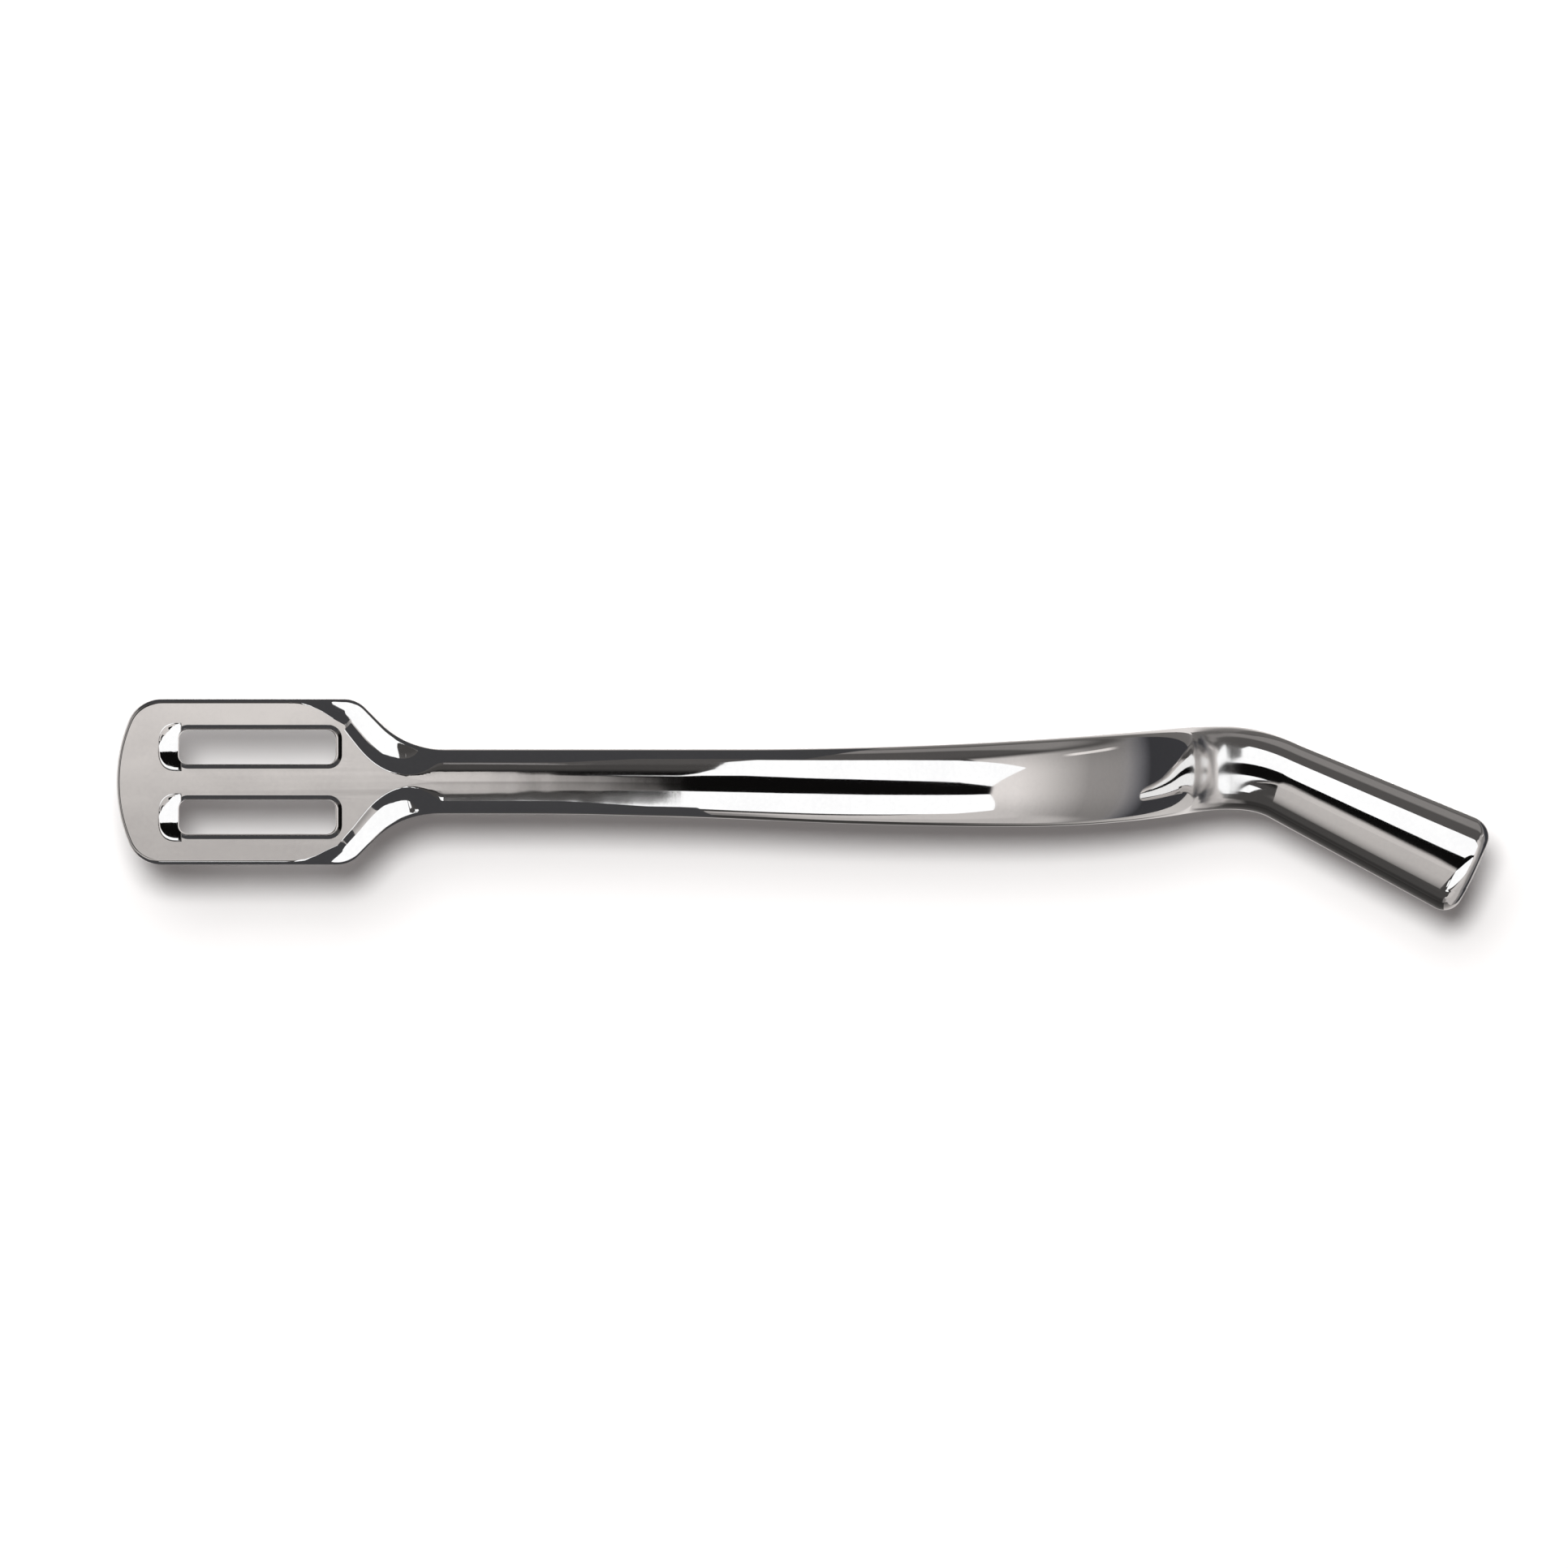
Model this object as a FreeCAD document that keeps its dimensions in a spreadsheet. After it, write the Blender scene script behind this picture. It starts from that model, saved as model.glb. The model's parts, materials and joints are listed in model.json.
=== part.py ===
import FreeCAD, Part
import math
import os
import re

import Sketcher
from FreeCAD import Vector

# An English riding spur with a blunt neck.
# The spur lies as it is worn: +Z up, -X towards the toe, +X towards the neck's tip.  The origin is on
# the upright axis of the round heel seat, level with the middle of the slotted plates.  The left
# branch, as the wearer sees it, is at -Y.
# Five pieces make it: the heel band, a strap plate lapped to the inside of each of its ends, the neck,
# whose spigot sits in the band, and the weld that carries the neck.

SIZES = (
    # heel band, seen from above
    ("heel_radius", 33.0, "inner radius of the round heel seat"),
    ("heel_half_arc", 65.0, "degrees of that arc on each side of the neck"),
    ("side_radius", 75.0, "inner radius of the arc between heel and branch"),
    ("flare", 2.0, "degrees by which each branch opens outwards"),
    ("branch_length", 13.5, "straight part of a branch, up to its plate"),
    ("heel_thickness", 4.4, "band thickness behind the heel"),
    ("branch_thickness", 3.0, "thickness of a branch and of its plate"),
    # heel band, seen from the side
    ("branch_top", 2.8, "top edge of a branch above the origin"),
    ("branch_bottom", 2.75, "bottom edge of a branch below the origin"),
    ("top_rise", 2.05, "rise of the top edge, up to the neck"),
    ("rise_place", 3.4, "distance from the origin to the rise's start, towards the toe"),
    ("belly_drop", 1.1, "drop of the bottom edge at its lowest place"),
    ("belly_place", 21.0, "distance from the origin to that place, towards the neck"),
    ("heel_bottom", 2.5, "bottom edge of the band below the origin, at the neck"),
    ("outer_round", 1.8, "rounding of the band's outer edges"),
    ("inner_round", 0.5, "rounding of the inner edges of band and plates"),
    # lap joint between a branch and its plate
    ("lap_length", 6.0, "length of the plate's tongue inside the branch"),
    ("lap_thickness", 1.1, "thickness of that tongue"),
    # slotted strap plates
    ("plate_length", 28.0, "front end of a plate to its joint"),
    ("plate_half_height", 7.1, "half the height of a plate"),
    ("front_radius", 14.0, "radius of a plate's front end"),
    ("front_corner", 3.0, "radius of a plate's front corners"),
    ("shoulder_radius", 2.6, "convex radius where a plate narrows"),
    ("throat_radius", 7.5, "concave radius where it meets the branch"),
    ("throat_slope", 45.0, "degrees of slope between those two radii"),
    ("lower_throat", 0.55, "joint to the start of the lower throat"),
    ("plate_round", 0.5, "rounding of the plate's outer edges"),
    # strap slots
    ("slot_length", 13.7, "length of a strap slot"),
    ("slot_height", 3.0, "height of a strap slot"),
    ("slot_spacing", 6.05, "distance between the two slots of a plate"),
    ("slot_front", 5.2, "front end of a plate to its slots"),
    ("slot_corner", 0.8, "corner radius of a slot"),
    ("slot_break", 0.3, "broken edge around a slot"),
    ("relief_radius", 2.1, "radius of the round relief at a slot's front end"),
    ("relief_length", 1.75, "length of that relief beyond the slot"),
    ("relief_depth", 0.9, "depth of that relief"),
    # neck
    ("neck_level", 1.2, "middle of the neck's root above the origin"),
    ("neck_reach", 23.2, "distance from the band to the neck's tip, along +X"),
    ("neck_droop", 25.5, "degrees by which the neck points down"),
    ("neck_bend", 11.5, "bend radius of the neck's middle line"),
    ("neck_waist_height", 6.8, "height of the neck in its bend"),
    ("neck_tip_height", 8.7, "height of the neck at its tip"),
    ("neck_waist_width", 6.6, "width of the neck in its bend"),
    ("neck_tip_width", 7.6, "width of the neck at its tip"),
    ("neck_tip_round", 1.4, "rounding of the tip's edge"),
    # joint between neck and band
    ("weld_length", 1.9, "length of the weld along the neck"),
    ("weld_flare", 3.6, "spread of the weld on each side of the neck"),
    ("root_land", 3.6, "diameter of the neck's bevelled root at the band"),
    ("spigot_diameter", 3.0, "diameter of the spigot on the neck's root"),
    ("spigot_length", 3.0, "depth to which the spigot enters the band"),
    ("spigot_gap", 0.05, "clearance around the spigot and before its end"),
)

# sizes that follow from the ones above
DERIVED = (
    ("heel_outer", "heel_radius + heel_thickness", "outer radius behind the heel"),
    ("seat_sweep", "90 - flare - heel_half_arc", "degrees of the side arc"),
    (
        "corner_x",
        "side_radius * sin(flare) - (side_radius - heel_radius) * cos(heel_half_arc)",
        "start of a branch's straight part, along X",
    ),
    (
        "corner_y",
        "side_radius * cos(flare) - (side_radius - heel_radius) * sin(heel_half_arc)",
        "start of a branch's straight part, from the middle",
    ),
    ("joint_x", "corner_x - branch_length * cos(flare)", "end of a branch, along X"),
    ("joint_y", "corner_y + branch_length * sin(flare)", "end of a branch, from the middle"),
    (
        "side_outer",
        "((side_radius - heel_radius) * -sin(heel_half_arc + flare) + side_radius + branch_thickness"
        " - heel_outer * sin(heel_half_arc + flare)) / (1 - sin(heel_half_arc + flare))",
        "outer radius of the side arc",
    ),
    ("blank_half", "branch_top + top_rise + belly_drop + branch_bottom", "half height of the bar"),
    ("far", "side_radius + branch_length + plate_length", "beyond the spur's ends"),
    (
        "relief_ball",
        "(relief_radius * relief_radius + relief_depth * relief_depth) / (2 * relief_depth)",
        "radius of the ball that makes a slot's relief",
    ),
    ("neck_start", "heel_outer + weld_length", "end of the weld, along X"),
    ("turn_x", "neck_start + neck_bend * sin(neck_droop)", "end of the neck's bend, along X"),
    ("turn_z", "neck_level - neck_bend * (1 - cos(neck_droop))", "end of the neck's bend, height"),
    ("tip_x", "heel_outer + neck_reach", "middle of the neck's tip, along X"),
    ("tip_z", "turn_z - (tip_x - turn_x) * tan(neck_droop)", "middle of the neck's tip, height"),
    ("apex_half", "(branch_top + top_rise + heel_bottom) / 2", "half the band's height at the neck"),
    ("apex_level", "apex_half - heel_bottom", "middle of the band's height at the neck"),
)

doc = FreeCAD.newDocument("Spur")


def make_sheet():
    sheet = doc.addObject("Spreadsheet::Sheet", "Sizes")
    for row, (alias, value, meaning) in enumerate(SIZES + DERIVED, start=1):
        text = f"={value}" if isinstance(value, str) else str(value)
        sheet.set(f"A{row}", alias)
        sheet.set(f"B{row}", text)
        sheet.set(f"C{row}", meaning)
        sheet.setAlias(f"B{row}", alias)
    doc.recompute()
    return sheet


sheet = make_sheet()


def size(alias):
    return float(getattr(sheet, alias))


def in_sheet(text):
    """Put the sheet's name before each alias of an expression."""
    known = {row[0] for row in SIZES + DERIVED}
    return re.sub(
        "[a-z_]+", lambda word: f"Sizes.{word[0]}" if word[0] in known else word[0], text
    )


def bind(thing, **properties):
    for name, text in properties.items():
        thing.setExpression(name.replace("__", "."), in_sheet(text))


def stand(thing, place, yaw="0", pitch="0", spin="0", frame=""):
    """Bind a Placement to sizes: a place, turns and, before them, the frame of another object."""
    turn = (
        f"rotation(vector(0; 0; 1); {yaw}) * rotation(vector(0; 1; 0); {pitch})"
        f" * rotation(vector(0; 0; 1); {spin})"
    )
    local = in_sheet(f"placement(vector({place}); {turn})")
    thing.setExpression("Placement", f"{frame}.Placement * {local}" if frame else local)


def plane(body, role):
    return next(item for item in body.Origin.OriginFeatures if item.Role == role)


class Outline:
    """A sketch on one of a body's origin planes, drawn side by side."""

    def __init__(self, body, name, role):
        self.sketch = body.newObject("Sketcher::SketchObject", name)
        self.sketch.AttachmentSupport = [(plane(body, role), "")]
        self.sketch.MapMode = "FlatFace"

    def line(self, start, end):
        return self.sketch.addGeometry(Part.LineSegment(Vector(*start, 0), Vector(*end, 0)))

    def arc(self, centre, radius, start, end):
        circle = Part.Circle(Vector(*centre, 0), Vector(0, 0, 1), radius)
        return self.sketch.addGeometry(
            Part.ArcOfCircle(circle, math.radians(start), math.radians(end))
        )

    def tie(self, kind, *places):
        self.sketch.addConstraint(Sketcher.Constraint(kind, *places))

    def drive(self, kind, *places, by):
        text = in_sheet(by)
        value = float(self.sketch.evalExpression(text))
        if kind == "Angle":
            value = math.radians(value)
        index = self.sketch.addConstraint(Sketcher.Constraint(kind, *places, value))
        self.sketch.setExpression(f"Constraints[{index}]", text)


def feature(body, kind, name, profile):
    item = body.newObject(f"PartDesign::{kind}", name)
    item.Profile = profile
    return item


def draw_band_plan(body):
    """Half of the bar from above, from the X axis to the end of a branch."""
    a, f = size("heel_half_arc"), size("flare")
    inner, outer = size("heel_radius"), size("heel_outer")
    side, side_out = size("side_radius"), size("side_outer")
    joint = (size("joint_x"), size("joint_y"))

    def polar(radius, angle):
        return (radius * math.cos(math.radians(angle)), radius * math.sin(math.radians(angle)))

    def add(p, q):
        return (p[0] + q[0], p[1] + q[1])

    outline = Outline(body, "BandPlan", "XY_Plane")
    heel_in = outline.arc((0, 0), inner, 0, a)
    side_in = outline.arc(polar(inner - side, a), side, a, 90 - f)
    branch_in = outline.line((size("corner_x"), size("corner_y")), joint)
    outer_end = add(joint, polar(size("branch_thickness"), 90 - f))
    end = outline.line(joint, outer_end)
    outer_start = add(polar(outer - side_out, a), polar(side_out, 90 - f))
    branch_out = outline.line(outer_end, outer_start)
    side_outer = outline.arc(polar(outer - side_out, a), side_out, a, 90 - f)
    heel_out = outline.arc((0, 0), outer, 0, a)
    middle = outline.line((outer, 0), (inner, 0))

    outline.tie("Coincident", heel_in, 3, -1, 1)
    outline.tie("Coincident", heel_out, 3, -1, 1)
    outline.tie("Tangent", heel_in, 2, side_in, 1)
    outline.tie("Tangent", side_in, 2, branch_in, 1)
    outline.tie("Coincident", branch_in, 2, end, 1)
    outline.tie("Coincident", end, 2, branch_out, 1)
    outline.tie("Tangent", branch_out, 2, side_outer, 2)
    outline.tie("Tangent", side_outer, 1, heel_out, 2)
    outline.tie("Coincident", heel_out, 1, middle, 1)
    outline.tie("Coincident", middle, 2, heel_in, 1)
    outline.tie("PointOnObject", heel_out, 1, -1)
    outline.tie("PointOnObject", heel_in, 1, -1)
    outline.tie("Perpendicular", branch_in, end)
    outline.tie("Parallel", branch_in, branch_out)
    outline.drive("Radius", heel_in, by="heel_radius")
    outline.drive("Radius", heel_out, by="heel_outer")
    outline.drive("Radius", side_in, by="side_radius")
    outline.drive("Angle", heel_in, by="heel_half_arc")
    outline.drive("Angle", heel_out, by="heel_half_arc")
    outline.drive("Angle", side_in, by="seat_sweep")
    outline.drive("Distance", branch_in, by="branch_length")
    outline.drive("Distance", end, by="branch_thickness")
    return outline.sketch


def draw_above(body):
    """What is cut away above the band's top edge, from the side."""
    far, top, start = size("far"), size("blank_half") * 2, size("rise_place")
    level, rise, reach = size("branch_top"), size("top_rise"), size("heel_outer")
    run = reach + start
    radius = (run**2 + rise**2) / (2 * rise)
    sweep = math.degrees(math.asin(run / radius))
    right = far

    outline = Outline(body, "AboveBand", "XZ_Plane")
    flat = outline.line((-far, level), (-start, level))
    climb = outline.arc((-start, level + radius), radius, -90, sweep - 90)
    ledge = outline.line((reach, level + rise), (right, level + rise))
    right_side = outline.line((right, level + rise), (right, top))
    lid = outline.line((right, top), (-far, top))
    left_side = outline.line((-far, top), (-far, level))

    outline.tie("Tangent", flat, 2, climb, 1)
    chain = (ledge, right_side, lid, left_side, flat)
    outline.tie("Coincident", climb, 2, ledge, 1)
    for one, next_one in zip(chain, chain[1:]):
        outline.tie("Coincident", one, 2, next_one, 1)
    for item in (flat, ledge, lid):
        outline.tie("Horizontal", item)
    for item in (right_side, left_side):
        outline.tie("Vertical", item)
    outline.drive("DistanceX", flat, 1, -1, 1, by="far")
    outline.drive("DistanceX", flat, 2, -1, 1, by="rise_place")
    outline.drive("DistanceY", -1, 1, flat, 1, by="branch_top")
    outline.drive("DistanceX", -1, 1, climb, 2, by="heel_outer")
    outline.drive("DistanceY", climb, 1, climb, 2, by="top_rise")
    outline.drive("DistanceX", -1, 1, ledge, 2, by="far")
    outline.drive("DistanceY", -1, 1, lid, 1, by="2 * blank_half")
    return outline.sketch


def draw_below(body):
    """What is cut away below the band's bottom edge, from the side."""
    far, deep = size("far"), size("blank_half") * 2
    level, drop = size("branch_bottom"), size("belly_drop")
    start = size("joint_x") + size("lap_length")
    belly, reach = size("belly_place"), size("heel_outer")
    heel = size("heel_bottom")
    lift = level + drop - heel
    run = belly - start
    wave = (run**2 + drop**2) / (4 * drop)
    wave_sweep = math.degrees(math.asin(run / 2 / wave))
    bowl = ((reach - belly) ** 2 + lift**2) / (2 * lift)
    bowl_sweep = math.degrees(math.asin((reach - belly) / bowl))

    outline = Outline(body, "BelowBand", "XZ_Plane")
    flat = outline.line((-far, -level), (start, -level))
    fall = outline.arc((start, -level - wave), wave, 90 - wave_sweep, 90)
    ease = outline.arc((belly, wave - level - drop), wave, -90 - wave_sweep, -90)
    rise = outline.arc((belly, bowl - level - drop), bowl, -90, bowl_sweep - 90)
    ledge = outline.line((reach, -heel), (far, -heel))
    right_side = outline.line((far, -heel), (far, -deep))
    floor = outline.line((far, -deep), (-far, -deep))
    left_side = outline.line((-far, -deep), (-far, -level))

    outline.tie("Tangent", flat, 2, fall, 2)
    outline.tie("Tangent", fall, 1, ease, 1)
    outline.tie("Tangent", ease, 2, rise, 1)
    outline.tie("Coincident", rise, 2, ledge, 1)
    chain = (ledge, right_side, floor, left_side, flat)
    for one, next_one in zip(chain, chain[1:]):
        outline.tie("Coincident", one, 2, next_one, 1)
    for item in (flat, ledge, floor):
        outline.tie("Horizontal", item)
    for item in (right_side, left_side):
        outline.tie("Vertical", item)
    outline.tie("Equal", fall, ease)
    outline.drive("DistanceX", flat, 1, -1, 1, by="far")
    outline.drive("DistanceX", flat, 2, -1, 1, by="0 - joint_x - lap_length")
    outline.drive("DistanceY", flat, 1, -1, 1, by="branch_bottom")
    outline.drive("DistanceX", -1, 1, ease, 2, by="belly_place")
    outline.drive("DistanceY", ease, 2, flat, 2, by="belly_drop")
    outline.drive("DistanceX", ease, 2, ease, 3, by="0 * belly_place")
    outline.drive("DistanceX", -1, 1, rise, 2, by="heel_outer")
    outline.drive("DistanceY", rise, 2, -1, 1, by="heel_bottom")
    outline.drive("DistanceX", -1, 1, ledge, 2, by="far")
    outline.drive("DistanceY", floor, 1, -1, 1, by="2 * blank_half")
    return outline.sketch


def wall_edges(shape, outer):
    """Names of the long edges of the bar's outer or inner walls."""
    names = []
    for number, edge in enumerate(shape.Edges, start=1):
        middle = edge.valueAt((edge.FirstParameter + edge.LastParameter) / 2)
        if abs(edge.tangentAt((edge.FirstParameter + edge.LastParameter) / 2).z) > 0.9:
            continue
        for face in shape.ancestorsOfType(edge, Part.Face):
            u, v = face.Surface.parameter(middle)
            normal = face.normalAt(u, v)
            is_end = normal.x < -0.9 and middle.x < 0
            if abs(normal.z) > 0.3 or is_end:
                continue
            if (normal.x * middle.x + normal.y * middle.y > 0) == outer:
                names.append(f"Edge{number}")
    return names


def round_edges(body, name, base, names, alias):
    fillet = body.newObject("PartDesign::Fillet", name)
    fillet.Base = (base, names)
    bind(fillet, Radius=alias)
    doc.recompute()
    return fillet


def make_band_blank():
    body = doc.addObject("PartDesign::Body", "BandBlank")
    bar = feature(body, "Pad", "Bar", draw_band_plan(body))
    bar.SideType = "Symmetric"
    bind(bar, Length="2 * blank_half")
    doc.recompute()
    whole = body.newObject("PartDesign::Mirrored", "WholeBar")
    whole.Originals = [bar]
    whole.MirrorPlane = (plane(body, "XZ_Plane"), [""])
    body.Tip = whole
    doc.recompute()
    for name, sketch in (("TopCut", draw_above(body)), ("BottomCut", draw_below(body))):
        before = body.Shape.Volume
        cut = feature(body, "Pocket", name, sketch)
        cut.Type = "ThroughAll"
        cut.SideType = "Symmetric"
        doc.recompute()
        if not body.Shape.Volume < before:
            raise ValueError(f"{name} removes nothing")
    outer = round_edges(body, "OuterRounding", cut, wall_edges(cut.Shape, True), "outer_round")
    round_edges(body, "InnerRounding", outer, wall_edges(outer.Shape, False), "inner_round")
    return body


def draw_plate_outline(body):
    """The plate and its tongue's length from the side; u runs from the joint to the front end."""
    lap, length, half = size("lap_length"), size("plate_length"), size("plate_half_height")
    front, corner = size("front_radius"), size("front_corner")
    shoulder, throat, slope = size("shoulder_radius"), size("throat_radius"), size("throat_slope")
    cos, sin = math.cos(math.radians(slope)), math.sin(math.radians(slope))
    front_middle = length - front
    corner_u = front_middle + math.sqrt((front - corner) ** 2 - (half - corner) ** 2)
    turn = math.degrees(math.asin((half - corner) / (front - corner)))

    outline = Outline(body, "PlateOutline", "XZ_Plane")

    def side(sign, level, start):
        """One long side: tongue, throat, slope, shoulder, straight edge and corner."""
        drop = throat * (1 - cos)
        low = (start + throat * sin, level + drop)
        rise = half - shoulder * (1 - cos) - low[1]
        high = (low[0] + rise * cos / sin, low[1] + rise)
        top = high[0] + shoulder * sin

        def flip(point):
            return (point[0], sign * point[1])

        def arc(centre, radius, first, last):
            ends = (first, last) if sign > 0 else (-last, -first)
            return outline.arc(flip(centre), radius, *ends)

        tongue = outline.line(flip((-lap, level)), flip((start, level)))
        hollow = arc((start, level + throat), throat, -90, slope - 90)
        ramp = outline.line(flip(low), flip(high))
        bulge = arc((top, half - shoulder), shoulder, 90, 90 + slope)
        edge = outline.line(flip((top, half)), flip((corner_u, half)))
        bend = arc((corner_u, half - corner), corner, turn, 90)
        near, far = (1, 2) if sign > 0 else (2, 1)
        outline.tie("Tangent", tongue, 2, hollow, near)
        outline.tie("Tangent", hollow, far, ramp, 1)
        outline.tie("Tangent", ramp, 2, bulge, far)
        outline.tie("Tangent", bulge, near, edge, 1)
        outline.tie("Tangent", edge, 2, bend, far)
        outline.tie("Horizontal", tongue)
        outline.tie("Horizontal", edge)
        return tongue, hollow, ramp, bulge, edge, bend

    upper = side(1, size("branch_top"), 0)
    lower = side(-1, size("branch_bottom"), size("lower_throat"))
    nose = outline.arc((front_middle, 0), front, -turn, turn)
    end = outline.line((-lap, -size("branch_bottom")), (-lap, size("branch_top")))
    outline.tie("Tangent", nose, 2, upper[5], 1)
    outline.tie("Tangent", nose, 1, lower[5], 2)
    outline.tie("Coincident", end, 2, upper[0], 1)
    outline.tie("Coincident", end, 1, lower[0], 1)
    outline.tie("Vertical", end)
    outline.tie("PointOnObject", upper[0], 2, -2)
    outline.tie("PointOnObject", nose, 3, -1)
    outline.tie("Equal", upper[1], lower[1])
    outline.tie("Equal", upper[3], lower[3])
    outline.tie("Equal", upper[5], lower[5])
    outline.drive("DistanceX", end, 1, -1, 1, by="lap_length")
    outline.drive("DistanceX", -1, 1, lower[0], 2, by="lower_throat")
    outline.drive("DistanceX", -1, 1, nose, 3, by="plate_length - front_radius")
    outline.drive("DistanceY", -1, 1, end, 2, by="branch_top")
    outline.drive("DistanceY", end, 1, -1, 1, by="branch_bottom")
    outline.drive("DistanceY", -1, 1, upper[4], 1, by="plate_half_height")
    outline.drive("DistanceY", lower[4], 1, -1, 1, by="plate_half_height")
    outline.drive("Radius", nose, by="front_radius")
    outline.drive("Radius", upper[1], by="throat_radius")
    outline.drive("Radius", upper[3], by="shoulder_radius")
    outline.drive("Radius", upper[5], by="front_corner")
    outline.drive("Angle", upper[1], by="throat_slope")
    outline.drive("Angle", lower[1], by="throat_slope")
    return outline.sketch


def draw_slots(body):
    """Both strap slots of a plate, from the side."""
    front = size("plate_length") - size("slot_front")
    back = front - size("slot_length")
    inner = (size("slot_spacing") - size("slot_height")) / 2
    outer = inner + size("slot_height")
    outline = Outline(body, "Slots", "XZ_Plane")
    for sign in (1, -1):
        near, far = sign * inner, sign * outer
        long_near = outline.line((back, near), (front, near))
        front_end = outline.line((front, near), (front, far))
        long_far = outline.line((front, far), (back, far))
        back_end = outline.line((back, far), (back, near))
        chain = (long_near, front_end, long_far, back_end, long_near)
        for one, next_one in zip(chain, chain[1:]):
            outline.tie("Coincident", one, 2, next_one, 1)
        for item in (long_near, long_far):
            outline.tie("Horizontal", item)
        for item in (front_end, back_end):
            outline.tie("Vertical", item)
        outline.drive("DistanceX", -1, 1, long_near, 2, by="plate_length - slot_front")
        outline.drive("DistanceX", long_near, 1, long_near, 2, by="slot_length")
        low, high = (front_end, 1), (front_end, 2)
        middle = (-1, 1)
        if sign < 0:
            low, high = high, low
        outline.drive("DistanceY", *low, *high, by="slot_height")
        towards = (*middle, *low) if sign > 0 else (*high, *middle)
        outline.drive("DistanceY", *towards, by="(slot_spacing - slot_height) / 2")
    return outline.sketch


def in_slot_zone(point, margin):
    front = size("plate_length") - size("slot_front")
    back = front - size("slot_length")
    half = (size("slot_spacing") + size("slot_height")) / 2
    return back - margin < point.x < front + margin and abs(point.z) < half + margin


def middle_of(edge):
    return edge.valueAt((edge.FirstParameter + edge.LastParameter) / 2)


def make_plate_blank():
    """A left plate with slots and inner roundings, its tongue still as thick as the branch."""
    body = doc.addObject("PartDesign::Body", "PlateBlank")
    stand(body, "joint_x; -joint_y; 0", yaw="180 + flare")
    slab = feature(body, "Pad", "Slab", draw_plate_outline(body))
    slab.Reversed = True
    bind(slab, Length="branch_thickness")
    doc.recompute()
    thickness = size("branch_thickness")
    inner = [
        f"Edge{number}"
        for number, edge in enumerate(slab.Shape.Edges, start=1)
        if edge.BoundBox.YMax < 0.01 and edge.BoundBox.XMax > -size("lap_length") + 0.01
    ]
    rounded = round_edges(body, "PlateInnerRounding", slab, inner, "inner_round")
    before = rounded.Shape.Volume
    slots = feature(body, "Pocket", "StrapSlots", draw_slots(body))
    slots.Type = "ThroughAll"
    slots.SideType = "Symmetric"
    doc.recompute()
    if not slots.Shape.Volume < before:
        raise ValueError("the slots remove nothing")
    corners = [
        f"Edge{number}"
        for number, edge in enumerate(slots.Shape.Edges, start=1)
        if in_slot_zone(middle_of(edge), 0.1) and abs(edge.tangentAt(edge.FirstParameter).y) > 0.9
    ]
    cornered = round_edges(body, "SlotCorners", slots, corners, "slot_corner")
    rims = [
        f"Edge{number}"
        for number, edge in enumerate(cornered.Shape.Edges, start=1)
        if in_slot_zone(middle_of(edge), 0.1)
        and edge.BoundBox.YLength < 0.01
        and min(abs(edge.BoundBox.YMin), abs(edge.BoundBox.YMin - thickness)) < 0.01
    ]
    round_edges(body, "SlotRims", cornered, rims, "slot_break")
    return body


def rounding_at(point):
    """Radius of the plate's outer edge: small on the plate, that of the band at the joint."""
    start, end = size("outer_round"), size("plate_round")
    shoulder = (size("plate_length") - size("slot_front") - size("slot_length")) * 0.9
    share = min(max(point.x / shoulder, 0.0), 1.0)
    return start + (end - start) * share


def make_plate_rounding(blank):
    """Round the outline of the outer face, with a radius that changes along the shoulders."""
    thickness = size("branch_thickness")
    frame = blank.Placement.inverse()
    edges = []
    for number, edge in enumerate(blank.Shape.Edges, start=1):
        ends = [frame.multVec(vertex.Point) for vertex in edge.Vertexes]
        middle = frame.multVec(middle_of(edge))
        level = max(abs(point.y - thickness) for point in ends + [middle])
        is_end = max(point.x for point in ends) < -size("lap_length") + 0.01
        if level < 0.01 and not is_end and not in_slot_zone(middle, 0.6):
            first = frame.multVec(edge.valueAt(edge.FirstParameter))
            last = frame.multVec(edge.valueAt(edge.LastParameter))
            edges.append((number, rounding_at(first), rounding_at(last)))
    fillet = doc.addObject("Part::Fillet", "PlateRounding")
    fillet.Base = blank
    fillet.Edges = edges
    doc.recompute()
    return fillet


def solid(kind, name, place, turns=None, frame="", **sizes):
    item = doc.addObject(f"Part::{kind}", name)
    bind(item, **sizes)
    stand(item, place, frame=frame, **(turns or {}))
    return item


def join(kind, name, items):
    item = doc.addObject(f"Part::{kind}", name)
    item.Shapes = items
    return item


def cut(name, base, tool):
    item = doc.addObject("Part::Cut", name)
    item.Base = base
    item.Tool = tool
    return item


def mirrored(name, source):
    item = doc.addObject("Part::Mirroring", name)
    item.Source = source
    item.Normal = Vector(0, 1, 0)
    return item


def make_reliefs(frame):
    """Round reliefs in the outer face, from each slot's front end towards the plate's front."""
    balls = [
        solid(
            "Sphere",
            f"{name}ReliefBall",
            "plate_length - slot_front + relief_length - relief_radius;"
            f" branch_thickness + relief_ball - relief_depth; {sign} * slot_spacing / 2",
            frame=frame,
            Radius="relief_ball",
        )
        for name, sign in (("Upper", "1"), ("Lower", "-1"))
    ]
    room = solid(
        "Box",
        "ReliefRoom",
        "plate_length - slot_front; 0; -blank_half",
        frame=frame,
        Length="2 * relief_radius",
        Width="branch_thickness + 2 * relief_ball",
        Height="2 * blank_half",
    )
    return join("MultiCommon", "Reliefs", [join("MultiFuse", "ReliefBalls", balls), room])


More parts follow.
